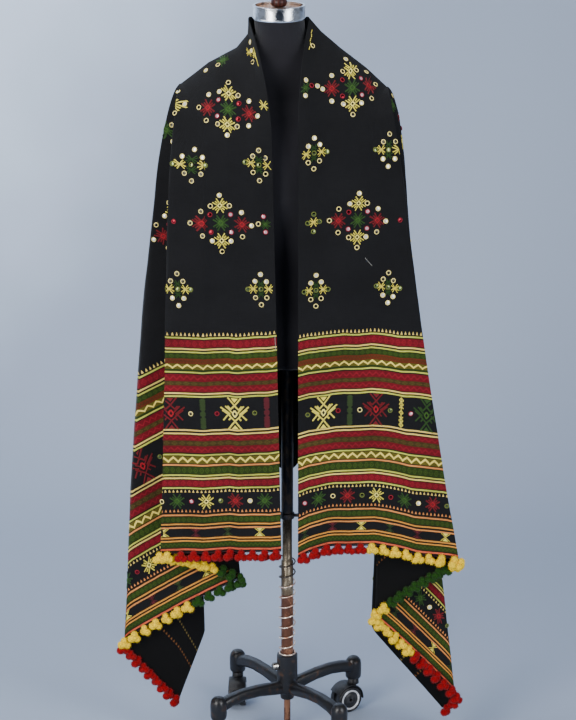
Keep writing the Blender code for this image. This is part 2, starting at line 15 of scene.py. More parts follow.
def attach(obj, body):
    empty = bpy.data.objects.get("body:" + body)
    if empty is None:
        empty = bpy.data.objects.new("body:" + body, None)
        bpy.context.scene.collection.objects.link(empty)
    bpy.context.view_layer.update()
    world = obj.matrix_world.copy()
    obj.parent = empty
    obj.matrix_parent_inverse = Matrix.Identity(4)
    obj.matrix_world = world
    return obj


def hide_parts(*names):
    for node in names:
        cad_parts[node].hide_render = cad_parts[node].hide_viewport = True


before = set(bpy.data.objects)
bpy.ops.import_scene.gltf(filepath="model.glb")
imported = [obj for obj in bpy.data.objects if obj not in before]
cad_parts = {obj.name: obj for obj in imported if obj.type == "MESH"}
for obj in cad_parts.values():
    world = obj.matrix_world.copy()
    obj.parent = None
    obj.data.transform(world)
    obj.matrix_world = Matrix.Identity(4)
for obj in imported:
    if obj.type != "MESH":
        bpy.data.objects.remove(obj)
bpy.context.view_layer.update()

bl_info = {
    "name": "Handloom shawl on a dress form",
    "version": (1, 0, 0),
    "blender": (4, 5, 0),
    "location": "View3D > Sidebar > Shawl",
    "description": "Drapes, stripes, embroiders and trims a shawl on a form, on its stand",
    "category": "Object",
}

# The flat cloth
WIDTH = 0.94
HALF_LENGTH = 1.19
SHOULDER_DROP = 0.20

# The ridge over each shoulder: s, t, x, z, collar share
RIDGES = {
    -1: [(0.120, 0.000, 0.060, 1.530, 1.0), (0.152, 0.022, 0.065, 1.499, 0.9),
         (0.185, 0.048, 0.090, 1.471, 0.4), (0.223, 0.102, 0.150, 1.441, 0.0),
         (0.262, 0.155, 0.209, 1.398, 0.0)],
    1: [(0.120, 0.000, 0.060, 1.530, 1.0), (0.152, 0.022, 0.080, 1.503, 0.9),
        (0.185, 0.048, 0.114, 1.4705, 0.4), (0.223, 0.102, 0.162, 1.431, 0.0),
        (0.262, 0.155, 0.201, 1.392, 0.0)],
}
NECK_S = RIDGES[-1][0][0]
TIP_S, TIP_T = RIDGES[-1][-1][:2]
# How late each side's folds spread as they fall
FLARE = {-1: 0.9, 1: 1.25}
NECK_BACK = (0.072, 1.470)
LEAN_FROM = 1.30
LEAN_TOP = 1.53
NECK_LEAN = 0.0165

# The folds from the front edge round to the middle of the back
# s, t, arm x, arm y, hem x, hem y, sag, round
LEFT_FOLDS = [
    (1.19, 0.00, 0.036, -0.118, 0.012, -0.150, -0.005, 0.00),
    (1.19, 0.085, 0.104, -0.108, 0.099, -0.144, 0.012, 0.00),
    (1.19, 0.155, 0.160, -0.100, 0.172, -0.138, 0.015, 0.00),
    (1.19, 0.24, 0.228, -0.074, 0.268, -0.128, 0.014, 0.14),
    (1.19, 0.46, 0.205, -0.056, 0.086, -0.084, 0.010, 0.10),
    (1.19, 0.73, 0.244, -0.036, 0.350, -0.056, 0.010, 0.09),
    (1.19, 0.94, 0.222, -0.022, 0.231, -0.026, 0.010, 0.00),
    (0.99, 0.94, 0.210, -0.008, 0.170, 0.008, 0.008, 0.12),
    (0.75, 0.94, 0.238, 0.012, 0.308, 0.036, 0.004, 0.12),
    (0.56, 0.94, 0.210, 0.036, 0.196, 0.068, 0.000, 0.14),
    (0.37, 0.94, 0.236, 0.066, 0.300, 0.112, 0.000, 0.14),
    (0.19, 0.94, 0.110, 0.104, 0.140, 0.130, 0.000, 0.30),
    (0.00, 0.94, 0.000, 0.118, 0.000, 0.156, 0.000, 0.00),
]
RIGHT_FOLDS = [
    (1.19, 0.00, 0.022, -0.118, 0.022, -0.150, 0.010, 0.00),
    (1.19, 0.065, 0.080, -0.110, 0.088, -0.145, -0.009, 0.00),
    (1.19, 0.155, 0.158, -0.100, 0.179, -0.138, -0.009, 0.00),
    (1.19, 0.245, 0.186, -0.087, 0.271, -0.129, 0.009, 0.00),
    (1.19, 0.33, 0.213, -0.074, 0.358, -0.120, 0.002, 0.11),
    (1.19, 0.60, 0.203, -0.056, 0.174, -0.084, 0.004, 0.10),
    (1.19, 0.88, 0.226, -0.036, 0.357, -0.050, 0.004, 0.10),
    (1.19, 0.94, 0.223, -0.030, 0.332, -0.034, 0.004, 0.00),
    (0.96, 0.94, 0.206, -0.008, 0.170, 0.006, 0.004, 0.12),
    (0.75, 0.94, 0.232, 0.012, 0.306, 0.036, 0.000, 0.12),
    (0.56, 0.94, 0.206, 0.036, 0.196, 0.068, 0.000, 0.14),
    (0.37, 0.94, 0.226, 0.066, 0.300, 0.112, 0.000, 0.14),
    (0.19, 0.94, 0.110, 0.104, 0.136, 0.142, 0.000, 0.30),
    (0.00, 0.94, 0.000, 0.118, 0.000, 0.156, 0.000, 0.00),
]

# Soft creases laid on one by one: side, from s, t, to s, t, half width, height
CREASES = [
    (-1, 0.16, 0.020, 0.62, 0.045, 0.020, 0.0050),
    (-1, 0.24, 0.100, 0.78, 0.095, 0.028, 0.0035),
    (-1, 0.30, 0.170, 0.90, 0.180, 0.030, 0.0030),
    (-1, 0.55, 0.130, 1.10, 0.135, 0.034, -0.0025),
    (-1, 0.10, 0.120, 0.06, 0.620, 0.040, 0.0050),
    (-1, 0.20, 0.200, 0.22, 0.800, 0.034, 0.0045),
    (-1, 0.40, 0.330, 0.62, 0.860, 0.030, 0.0040),
    (-1, 0.42, 0.260, 1.16, 0.700, 0.055, 0.0100),
    (1, 0.16, 0.018, 0.55, 0.030, 0.018, 0.0045),
    (1, 0.25, 0.090, 0.82, 0.110, 0.030, 0.0040),
    (1, 0.30, 0.175, 0.95, 0.230, 0.034, 0.0030),
    (1, 0.60, 0.070, 1.08, 0.060, 0.030, -0.0020),
    (1, 0.11, 0.150, 0.10, 0.700, 0.036, 0.0045),
    (1, 0.21, 0.220, 0.26, 0.860, 0.030, 0.0050),
    (1, 0.42, 0.300, 0.66, 0.840, 0.032, 0.0035),
]

# How many half widths a crease reaches, and the shares of its length where it rises and falls
CREASE_REACH = 2.5
CREASE_RISE = 0.30
CREASE_FALL = 0.35
# Small unevenness: scale along and across the cloth, seed, height
UNEVEN = [(9, 16, 3.1, 0.0011), (26, 34, 7.7, 0.0004)]
# How many lines across the cloth are measured over the drape, and the cuts in each
LINES = 60
CUTS = 94

# Mirrors and their rings: the disc's height, the ring's wire, the depth a stitch is sewn in,
# the least distance from the cloth's edges and how far a disc may tip
DISC_HIGH = 0.0009
RING_WIRE = 0.0010
SEWN_IN = 0.0001
MIRROR_EDGE = 0.006
MIRROR_TIP = 0.22

# The trim along each short end: how many pompoms, how far their middles hang under the hem and
# lean out of it, and their sizes
POMPOM_COUNT = 41
POMPOM_DROP = 0.0085
POMPOM_LEAN = 0.0020
POMPOM_SIZE = 1.14
POMPOM_VARIES = 0.16
# The rows of the folds where the hem bends back, how near a pompom is to be pushed forwards or
# outwards there, and how far
FOLD_ROWS = {-1: (3, 4, 5), 1: (4, 5, 6)}
FOLD_NEAR = 0.0500
POMPOM_PUSH = 0.0060
BEND_NEAR = 0.0260
BEND_PUSH = 0.0025
# The trim's cords: the radius of each stalk and of the hem's cord, the depth a stalk is sewn
# in, and the drop of the hem's cord and its sections
STALK_RADIUS = 0.0009
HEM_RADIUS = 0.0011
STALK_ROOT = 0.0010
HEM_DROP = 0.0015
HEM_CUTS = 160
# How many pompoms of each colour follow each other from the front edge, on each end
TRIM_COLOURS = {
    -1: [("red", 9), ("yellow", 8), ("green", 8), ("yellow", 7), ("red", 9)],
    1: [("red", 6), ("yellow", 10), ("green", 8), ("yellow", 8), ("red", 9)],
}


def srgb(red, green, blue):
    """A colour picked in 0 to 255, made linear."""
    found = []
    for part in (red, green, blue):
        part /= 255
        found.append(part / 12.92 if part <= 0.04045 else ((part + 0.055) / 1.055) ** 2.4)
    return tuple(found)


YARN = {
    "ground": srgb(18, 18, 20), "backing": srgb(34, 25, 15), "crimson": srgb(104, 15, 25),
    "bright crimson": srgb(134, 24, 36), "green": srgb(38, 54, 14),
    "light green": srgb(58, 78, 22), "olive": srgb(92, 84, 24), "brown olive": srgb(62, 48, 20),
    "light olive": srgb(84, 72, 30), "yellow": srgb(240, 216, 104),
    "yellow green": srgb(186, 188, 78), "cream": srgb(226, 196, 104), "peach": srgb(216, 138, 74),
    "orange": srgb(210, 142, 58), "rust": srgb(98, 40, 18), "rose": srgb(206, 92, 62),
}

# The plain stripes woven into each end, in millimetres from the edge: from, to, colour
STRIPES = [
    (0.0, 33.9, "backing"), (48.8, 84.5, "backing"), (134.5, 264.5, "backing"),
    (329.5, 459.5, "backing"), (0.0, 2.6, "ground"), (4.0, 7.6, "rose"), (21.8, 24.8, "orange"),
    (28.2, 31.4, "orange"), (50.2, 53.4, "peach"), (57.8, 61.0, "orange"),
    (77.2, 80.6, "peach"), (136.1, 139.5, "yellow green"), (157.2, 160.6, "cream"),
    (163.7, 167.1, "yellow green"), (185.8, 189.4, "peach"), (208.2, 211.5, "yellow green"),
    (252.8, 256.1, "cream"), (260.1, 263.4, "cream"), (331.2, 334.6, "yellow green"),
    (337.5, 340.8, "cream"), (382.1, 385.4, "yellow green"), (386.6, 390.0, "green"),
    (424.4, 427.6, "yellow green"), (430.9, 434.2, "cream"), (454.2, 457.6, "yellow green"),
]
# The figured stripes: from, to, figure, its two colours, its repeat across the cloth
FIGURES = [
    (10.0, 21.0, "wave", "green", "light green", 9),
    (63.0, 75.6, "diamonds", "green", "light green", 11),
    (85.4, 90.8, "teeth", "ground", "peach", 8.4), (128.4, 133.8, "teeth", "ground", "cream", 8.4),
    (141.4, 155.2, "diamonds", "crimson", "bright crimson", 13),
    (168.6, 184.6, "diamonds", "green", "light green", 12),
    (191.4, 206.4, "zigzag", "olive", "yellow", 20),
    (214.4, 229.0, "wave", "crimson", "bright crimson", 14),
    (229.0, 239.6, "diamonds", "brown olive", "light olive", 16),
    (239.6, 251.2, "wave", "crimson", "bright crimson", 14),
    (342.8, 356.0, "wave", "crimson", "bright crimson", 14),
    (356.0, 364.6, "diamonds", "brown olive", "light olive", 16),
    (364.6, 379.6, "wave", "crimson", "bright crimson", 14),
    (390.0, 401.4, "zigzag", "olive", "yellow", 20),
    (401.9, 412.4, "wave", "rust", "brown olive", 6),
    (412.4, 423.2, "diamonds", "green", "light green", 12),
    (436.2, 452.2, "diamonds", "crimson", "bright crimson", 13),
    (460.4, 466.8, "teeth", "ground", "cream", 8.4),
]
BANDS = [(low, high, "plain", name, name, 10) for low, high, name in STRIPES] + FIGURES

# How far the woven stripes ride up each front panel. Along the cloth: where the pull starts and
# how soon it is full, the border's top, the foot of its widest black band, and how soon the pull
# ends below that. In the table: across the cloth, the pull at that top and at that foot.
PULL_START = 0.45
PULL_EASE = 0.28
PULL_TOP = 0.730
PULL_LOW = 0.925
PULL_FADE = 0.245
PULLS = {
    -1: [(0.00, -0.0028, 0.0000), (0.03, -0.0059, -0.0025), (0.07, -0.0129, -0.0067),
         (0.0875, -0.0160, -0.0086), (0.12, -0.0139, -0.0086), (0.22, -0.0126, -0.0069),
         (0.30, -0.0076, -0.0047), (0.40, 0.0, 0.0)],
    1: [(0.00, -0.0042, -0.0034), (0.03, -0.0100, -0.0080), (0.065, -0.0132, -0.0123),
        (0.10, -0.0091, -0.0087), (0.13, -0.0104, -0.0083), (0.17, -0.0071, -0.0071),
        (0.20, -0.0056, -0.0039), (0.245, -0.0047, -0.0024), (0.30, -0.0052, -0.0048),
        (0.40, 0.0, 0.0)],
}


# The hanging cloth


def lerp(a, b, share):
    return a + (b - a) * share


def smooth(value):
    value = min(max(value, 0.0), 1.0)
    return value * value * (3 - 2 * value)


def wander(place, far=17.0):
    """Smooth noise in three directions, the same at each run."""
    return Vector([noise.noise(place + Vector((0, 0, far * k))) for k in range(3)])


def lean(z):
    """How far the form's middle line has moved sideways at a height."""
    return -NECK_LEAN * (max(z - LEAN_FROM, 0.0) / (LEAN_TOP - LEAN_FROM)) ** 2


def between(table, key, value, column):
    """The column of a table at a value of its rising key column."""
    for low, high in zip(table, table[1:]):
        if value <= high[key] or high is table[-1]:
            share = (value - low[key]) / (high[key] - low[key])
            return lerp(low[column], high[column], share)


def fold_path(folds, straight=3, turn=10):
    """The cloth's edge from the front edge to the middle of the back, its bends rounded."""
    rows = [Vector(row[:7]) for row in folds]
    bends = [row[7] for row in folds]
    points = [rows[0]]
    for i in range(1, len(rows)):
        begin = rows[i - 1].lerp(rows[i], bends[i - 1])
        end = rows[i].lerp(rows[i - 1], bends[i])
        points += [begin.lerp(end, k / straight) for k in range(1, straight + 1)]
        if bends[i]:
            leave = rows[i].lerp(rows[i + 1], bends[i])
            for k in range(1, turn + 1):
                share = k / turn
                points.append(end.lerp(rows[i], share).lerp(rows[i].lerp(leave, share), share))
    return points


def along(point):
    """How far a point of the edge lies from the front edge, round the corner."""
    return point[1] + HALF_LENGTH - point[0]


class Half:
    """One half of the shawl: its side, its give on the bias and its folds."""

    def __init__(self, side, bias, folds):
        self.side = side
        self.bias = bias
        self.folds = folds
        self.ridge = RIDGES[side]
        self.points = [tuple(point) for point in fold_path(folds)]
        self.lengths = [along(point) for point in self.points]
        self.arcs = []
        for i in range(LINES + 1):
            row = [self.place(*self.thread(HALF_LENGTH * i / LINES, WIDTH * k / CUTS))
                   for k in range(CUTS + 1)]
            run = [0.0]
            for a, b in zip(row, row[1:]):
                run.append(run[-1] + (b - a).length)
            self.arcs.append([length * WIDTH / run[-1] for length in run])

    def end(self, length):
        """The row of the edge at a distance along it."""
        k = min(max(bisect_left(self.lengths, length), 1), len(self.points) - 1)
        low, high = self.points[k - 1], self.points[k]
        span = self.lengths[k] - self.lengths[k - 1]
        share = (length - self.lengths[k - 1]) / span
        return [lerp(a, b, share) for a, b in zip(low, high)]

    def top(self, s, t):
        """Where the thread that ends at the edge (s, t) starts: s, t, place, collar share."""
        if s >= TIP_S:
            top_t = min(t, TIP_T)
            top_s = between(self.ridge, 1, top_t, 0)
        elif s >= NECK_S:
            top_s = s
            top_t = between(self.ridge, 0, s, 1)
        else:
            turn = math.pi / 2 * s / NECK_S
            x, z = self.ridge[0][2:4]
            place = (self.side * x * math.sin(turn), NECK_BACK[0] * math.cos(turn),
                     lerp(z, NECK_BACK[1], math.cos(turn) ** 4))
            return s, 0.0, place, 1.0
        x, z, collar = (between(self.ridge, 1, top_t, column) for column in (2, 3, 4))
        return top_s, top_t, (self.side * x, 0.0, z), collar

    def place(self, length, share=None, below=0.0):
        """A point a share of the way down the thread that ends at a length of the edge."""
        s, t, arm_x, arm_y, hem_x, hem_y, sag = self.end(length)
        top_s, top_t, top, collar = self.top(s, t)
        run_s, run_t = s - top_s, t - top_t
        give = math.sin(2 * math.atan2(run_t, run_s)) ** 2
        full = math.hypot(run_s, run_t) * (1 + self.bias * give) + sag
        if share is None:
            share = 1 + below / full
        drop = full * share
        reach = min(drop / SHOULDER_DROP, 1.0)
        ease = lerp(math.sqrt(1 - (1 - reach) ** 2), 1 - (1 - reach) ** 2, collar)
        x = lerp(top[0], self.side * lerp(arm_x, hem_x, share ** FLARE[self.side]), ease)
        y = lerp(top[1], lerp(arm_y, hem_y, share), ease)
        z = top[2] - drop
        return Vector((x + lean(z), y, z))

    def thread(self, s, t):
        """The thread through a point of the flat cloth: its edge length and the share."""
        if s > TIP_S and t > TIP_T:
            scale = min((HALF_LENGTH - TIP_S) / (s - TIP_S), (WIDTH - TIP_T) / (t - TIP_T))
            end_s, end_t = TIP_S + (s - TIP_S) * scale, TIP_T + (t - TIP_T) * scale
            return end_t + HALF_LENGTH - end_s, 1 / scale
        if t <= TIP_T and s >= between(self.ridge, 1, t, 0):
            top_s = between(self.ridge, 1, t, 0)
            return t, (s - top_s) / (HALF_LENGTH - top_s)
        top_t = between(self.ridge, 0, s, 1) if s > NECK_S else 0.0
        return WIDTH + HALF_LENGTH - s, (t - top_t) / (WIDTH - top_t)

    def lines(self, s):
        """The two measured lines on either side of s, and the share between them."""
        i = min(int(s / HALF_LENGTH * LINES), LINES - 1)
        return self.arcs[i], self.arcs[i + 1], s / HALF_LENGTH * LINES - i

    def across(self, s, t):
        """How far the cloth runs over its drape from the neck edge to a thread's place."""
        low, high, share = self.lines(s)
        k = min(int(t / WIDTH * CUTS), CUTS - 1)
        part = t / WIDTH * CUTS - k
        return lerp(lerp(low[k], low[k + 1], part), lerp(high[k], high[k + 1], part), share)

    def evenly(self, s, v):
        """The thread's place that lies a distance from the neck edge, over the drape."""
        low, high, share = self.lines(s)
        first, last = 0, CUTS
        while last - first > 1:
            k = (first + last) // 2
            if lerp(low[k], high[k], share) <= v:
                first = k
            else:
                last = k
        start, stop = (lerp(low[k], high[k], share) for k in (first, last))
        return WIDTH / CUTS * (first + (v - start) / (stop - start))


LEFT = Half(-1, 0.080, LEFT_FOLDS)
RIGHT = Half(1, 0.095, RIGHT_FOLDS)


def half_at(u):
    return LEFT if u < 0 else RIGHT


def bare(u, t):
    """The draped place of a thread's place, with no creases."""
    half = half_at(u)
    return half.place(*half.thread(min(abs(u), HALF_LENGTH), min(max(t, 0.0), WIDTH)))


def crease(u, v):
    """How far the cloth stands out from its plain drape, in metres."""
    side, s = half_at(u).side, abs(u)
    height = 0.0
    for where, s0, t0, s1, t1, half_width, top in CREASES:
        if where != side:
            continue
        run_s, run_t = s1 - s0, t1 - t0
        share = ((s - s0) * run_s + (v - t0) * run_t) / (run_s ** 2 + run_t ** 2)
        if not 0 < share < 1:
            continue
        off = math.hypot(s - s0 - run_s * share, v - t0 - run_t * share)
        if off < CREASE_REACH * half_width:
            ends = smooth(share / CREASE_RISE) * smooth((1 - share) / CREASE_FALL)
            height += top * ends * math.exp(-(off / half_width) ** 2)
    rough = sum(noise.noise(Vector((u * scale_u, v * scale_v, seed))) * top
                for scale_u, scale_v, seed, top in UNEVEN)
    return height + rough * smooth((abs(s - 0.2) + v) / 0.3)


def facing(u, v):
    """Which way the draped cloth's right side faces at a point of the flat cloth."""
    step = 0.003
    du = bare(u + step, v) - bare(u - step, v)
    dv = bare(u, min(v + step, WIDTH)) - bare(u, max(v - step, 0.0))
    out = du.cross(dv)
    return out.normalized() if out.length > 1e-12 else Vector((0, 0, 1))


def draped(u, t, lift=0.0):
    """The place on the creased cloth at a thread's place, lifted off the cloth's middle."""
    return bare(u, t) + facing(u, t) * (crease(u, t) + lift)


def pull(side, s, v):
    """How far the woven pattern rides up a front panel."""
    rows = PULLS[side]
    if v >= rows[-1][0]:
        return 0.0
    top, low = (between(rows, 0, v, column) for column in (1, 2))
    if s < PULL_LOW:
        held = lerp(top, low, max(s - PULL_TOP, 0.0) / (PULL_LOW - PULL_TOP))
        return held * smooth((s - PULL_START) / PULL_EASE)
    return low * (1 - smooth((s - PULL_LOW) / PULL_FADE))


def flat_to_thread(u, v):
    """The thread's place under a point of the flat cloth."""
    half, s = half_at(u), abs(u)
    s = min(max(s - pull(half.side, s, v), 0.0), HALF_LENGTH)
    return half.side * s, half.evenly(s, v)


def thread_to_flat(u, t):
    """The point of the flat cloth at a thread's place."""
    half, s = half_at(u), abs(u)
    v = half.across(s, t)
    return half.side * (s + pull(half.side, s, v)), v


def on_cloth(u, v, lift=0.0):
    """The place over a point of the flat cloth, lifted off the cloth's middle."""
    return draped(*flat_to_thread(u, v), lift)


# Meshes and nodes


def new_object(name, data):
    thing = bpy.data.objects.new(name, data)
    bpy.context.scene.collection.objects.link(thing)
    return thing


def to_mesh(name, shape):
    mesh = bpy.data.meshes.new(name)
    shape.to_mesh(mesh)
    shape.free()
    return mesh


def finish_piece(name, mesh, body, looks, smooth_angle=50.0, instead=()):
    """An object of a mesh, with its materials, riding on a body instead of some nodes."""
    for look in looks:
        mesh.materials.append(look)
    mesh.shade_smooth()
    mesh.set_sharp_from_angle(angle=math.radians(smooth_angle))
    piece = new_object(name, mesh)
    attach(piece, body)
    if instead:
        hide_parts(*instead)
    return piece


def turned_piece(name, shape, body, looks, node, smooth_angle=50.0):
    """A finished piece of a shape, instead of one node."""
    finish_piece(name, to_mesh(name, shape), body, looks, smooth_angle, [node])


def repaint(node, look):
    """Another material on a node that shows as it is."""
    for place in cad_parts[node].material_slots:
        place.material = look


def angles(count):
    return [2 * math.pi * k / count for k in range(count)]


def put(tree, kind, inputs=(), **settings):
    """Adds a node, with its settings, and fills its inputs with values or other outputs."""
    node = tree.nodes.new(kind)
    for name, value in settings.items():
        setattr(node, name, value)
    for key, value in dict(inputs).items():
        if isinstance(value, bpy.types.NodeSocket):
            tree.links.new(value, node.inputs[key])
        else:
            node.inputs[key].default_value = value
    return node


def calc(tree, operation, *values):
    """A Math node's output."""
    return put(tree, "ShaderNodeMath", enumerate(values), operation=operation).outputs[0]


def mix(tree, share, low, high):
    """A colour between two others."""
    low, high = ((*c, 1.0) if isinstance(c, tuple) and len(c) == 3 else c for c in (low, high))
    node = put(tree, "ShaderNodeMix", {0: share, 6: low, 7: high}, data_type="RGBA")
    return node.outputs[2]


def fuzz(tree, vector, scale, detail=3.0, stretch=(1, 1, 1)):
    """Noise between 0 and 1 in metres of its vector, drawn out along an axis if asked."""
    place = put(tree, "ShaderNodeVectorMath", {0: vector, 1: stretch}, operation="MULTIPLY")
    return put(tree, "ShaderNodeTexNoise",
               {"Vector": place.outputs[0], "Scale": scale, "Detail": detail,
                "Roughness": 0.55}).outputs[0]


def object_place(tree):
    return put(tree, "ShaderNodeTexCoord").outputs["Object"]


def split(tree, vector):
    return put(tree, "ShaderNodeSeparateXYZ", {0: vector}).outputs


def tint(tree, colour, level):
    """A colour made darker or lighter."""
    return put(tree, "ShaderNodeVectorMath", {0: colour, "Scale": level},
               operation="SCALE").outputs[0]


def spread(tree, value, low, high, to_low=0.0, to_high=1.0):
    """A value's range stretched to another range and held there."""
    return put(tree, "ShaderNodeMapRange", {0: value, 1: low, 2: high, 3: to_low, 4: to_high},
               clamp=True).outputs[0]


def new_group(name, inputs, outputs):
    """A shader node group with named sockets, and the nodes at its two ends."""
    group = bpy.data.node_groups.new(name, "ShaderNodeTree")
    for where, sockets in (("INPUT", inputs), ("OUTPUT", outputs)):
        for socket, kind in sockets:
            group.interface.new_socket(name=socket, in_out=where, socket_type=kind)
    return group, group.nodes.new("NodeGroupInput").outputs, group.nodes.new("NodeGroupOutput")


# How far a stripe strays, and the spacing of the cloth's threads, of satin stitches and of the
# jersey's ribs and rows
DRIFT = 0.0011
THREAD_PITCH = 0.0016
STRAND = 0.0009
JERSEY_RIBS = 420
JERSEY_ROW = 0.0022

FLOAT, COLOUR = "NodeSocketFloat", "NodeSocketColor"
BAND_INPUTS = [("Colour", COLOUR), ("Up", FLOAT), ("Across", FLOAT), ("From", FLOAT),
               ("To", FLOAT), ("Ground", COLOUR), ("Figure", COLOUR), ("Repeat", FLOAT)]


def band_group(figure):
    """A stripe of the border: a ground colour and a figure charted over it."""
    name = f"woven {figure}"
    if name in bpy.data.node_groups:
        return bpy.data.node_groups[name]
    tree, given, out = new_group(name, BAND_INPUTS, [("Colour", COLOUR)])
    height = calc(tree, "SUBTRACT", given["To"], given["From"])
    rise = calc(tree, "DIVIDE", calc(tree, "SUBTRACT", given["Up"], given["From"]), height)
    inside = calc(tree, "COMPARE", rise, 0.5, 0.5)
    turns = calc(tree, "FRACT", calc(tree, "DIVIDE", given["Across"], given["Repeat"]))
    swing = calc(tree, "MULTIPLY", calc(tree, "ABSOLUTE", calc(tree, "SUBTRACT", turns, 0.5)), 2.0)
    if figure == "zigzag":
        path = calc(tree, "MULTIPLY_ADD", calc(tree, "POWER", swing, 0.8), 0.64, 0.18)
        mask = calc(tree, "COMPARE", rise, path, 0.17)
    elif figure == "wave":
        path = calc(tree, "MULTIPLY_ADD", swing, 0.5, 0.25)
        mask = calc(tree, "COMPARE", rise, path, 0.1)
    elif figure == "diamonds":
        up = calc(tree, "MULTIPLY", calc(tree, "ABSOLUTE", calc(tree, "SUBTRACT", rise, 0.5)), 2.0)
        far = calc(tree, "ADD", up, swing)
        ring = calc(tree, "COMPARE", far, 0.72, 0.15)
        mask = calc(tree, "MAXIMUM", ring, calc(tree, "LESS_THAN", far, 0.26))
    elif figure == "teeth":
        mask = calc(tree, "LESS_THAN", calc(tree, "MULTIPLY_ADD", swing, 2.1, rise), 1.15)
    else:
        mask = 0.0
    shade = mix(tree, mask, given["Ground"], given["Figure"])
    tree.links.new(mix(tree, inside, given["Colour"], shade), out.inputs["Colour"])
    return tree


def weave_group():
    """Crossing threads: a height to bump, and how much each thread's dye differs."""
    name = "crossing threads"
    if name in bpy.data.node_groups:
        return bpy.data.node_groups[name]
    tree, given, out = new_group(
        name, [("Along", FLOAT), ("Across", FLOAT), ("Pitch", FLOAT)],
        [("Height", FLOAT), ("Dye", FLOAT)])
    waves = []
    for source in ("Along", "Across"):
        turn = calc(tree, "DIVIDE", given[source], given["Pitch"])
        waves.append(calc(tree, "SINE", calc(tree, "MULTIPLY", turn, math.pi)))
    cross = calc(tree, "ABSOLUTE", calc(tree, "MULTIPLY", *waves))
    vector = put(tree, "ShaderNodeCombineXYZ",
                 {0: calc(tree, "MULTIPLY", given["Along"], 0.05), 1: given["Across"]})
    slub = fuzz(tree, vector.outputs[0], 900, 2.0)
    vector = put(tree, "ShaderNodeCombineXYZ",
                 {0: given["Along"], 1: calc(tree, "MULTIPLY", given["Across"], 0.05)})
    weft = fuzz(tree, vector.outputs[0], 700, 2.0)
    tree.links.new(cross, out.inputs["Height"])
    tree.links.new(calc(tree, "MULTIPLY", slub, weft), out.inputs["Dye"])
    return tree


def wear_group():
    """Where paint or polish has worn: a mask that grows with the worn share."""
    name = "worn patches"
    if name in bpy.data.node_groups:
        return bpy.data.node_groups[name]
    tree, given, out = new_group(
        name, [("Vector", "NodeSocketVector"), ("Size", FLOAT), ("Worn", FLOAT)],
        [("Mask", FLOAT), ("Height", FLOAT)])
    closeness = calc(tree, "DIVIDE", 1.0, given["Size"])
    broad = put(tree, "ShaderNodeTexNoise", {"Vector": given["Vector"], "Scale": closeness,
                                             "Detail": 4.0}).outputs[0]
    fine = put(tree, "ShaderNodeTexNoise", {"Vector": given["Vector"], "Scale": 900.0,
                                            "Detail": 2.0}).outputs[0]
    level = calc(tree, "MULTIPLY_ADD", fine, 0.35, broad)
    edge = calc(tree, "SUBTRACT", 1.0, given["Worn"])
    mask = put(tree, "ShaderNodeMapRange", {0: level, 1: edge, 3: 0.0, 4: 1.0}, clamp=True)
    tree.links.new(calc(tree, "ADD", edge, 0.09), mask.inputs[2])
    tree.links.new(mask.outputs[0], out.inputs["Mask"])
    tree.links.new(fine, out.inputs["Height"])
    return tree


def new_look(name, **constants):
    """A material with one shader, its constants set on the shader's own sockets."""
    look = bpy.data.materials.new(name)
    look.use_nodes = True
    shader = look.node_tree.nodes["Principled BSDF"]
    for key, value in constants.items():
        if isinstance(value, tuple):
            value = (*value, 1.0)
        shader.inputs[key.replace("_", " ")].default_value = value
    return look, look.node_tree, shader


def feed(tree, shader, colour=None, roughness=None, height=None, depth=0.0005, metal=None):
    """Links what varies over the surface to the shader."""
    if colour is not None:
        tree.links.new(colour, shader.inputs["Base Color"])
    if roughness is not None:
        tree.links.new(roughness, shader.inputs["Roughness"])
    if metal is not None:
        tree.links.new(metal, shader.inputs["Metallic"])
    if height is not None:
        bump = put(tree, "ShaderNodeBump", {"Height": height, "Distance": depth})
        tree.links.new(bump.outputs[0], shader.inputs["Normal"])


def use_group(tree, group, inputs):
    return put(tree, "ShaderNodeGroup", inputs, node_tree=group).outputs


def cloth_look(name, shaded_wrong_side):
    """The shawl's woven wool, its border charted from the table of stripes. The wrong side keeps
    only the toothed stripes and is dimmed to about a quarter, a painted shade.
    """
    look, tree, shader = new_look(name, Roughness=0.93, Specular_IOR_Level=0.18,
                                  Sheen_Weight=0.04, Sheen_Roughness=0.5)
    plane = put(tree, "ShaderNodeUVMap", uv_map="flat cloth").outputs[0]
    flat = split(tree, plane)
    up = calc(tree, "SUBTRACT", HALF_LENGTH, calc(tree, "ABSOLUTE", flat[0]))
    drift = calc(tree, "MULTIPLY_ADD", fuzz(tree, plane, 28, 2.0), 2 * DRIFT, -DRIFT)
    up = calc(tree, "ADD", up, drift)
    colour = mix(tree, fuzz(tree, plane, 7), tuple(c * 0.8 for c in YARN["ground"]),
                 tuple(c * 1.3 for c in YARN["ground"]))
    for low, high, figure, ground, accent, repeat in BANDS:
        if shaded_wrong_side and figure != "teeth":
            accent = ground = "ground"
        colour = use_group(tree, band_group(figure), {
            "Colour": colour, "Up": up, "Across": flat[1], "From": low / 1000,
            "To": high / 1000, "Ground": (*YARN[ground], 1.0), "Figure": (*YARN[accent], 1.0),
            "Repeat": repeat / 1000})[0]
    woven = use_group(tree, weave_group(), {"Along": flat[0], "Across": flat[1],
                                            "Pitch": THREAD_PITCH})
    dye = spread(tree, woven["Dye"], 0.1, 0.45, 0.72, 1.25)
    patchy = spread(tree, fuzz(tree, plane, 12, 2.0, (1.0, 0.6, 1.0)), 0.3, 0.7, 0.82, 1.2)
    level = calc(tree, "MULTIPLY", dye, patchy)
    # Painted shade: the wrong side is dimmed to about a quarter.
    if shaded_wrong_side:
        level = calc(tree, "MULTIPLY", level, 0.26)
    feed(tree, shader, tint(tree, colour, level), height=woven["Height"], depth=0.0004)
    return look


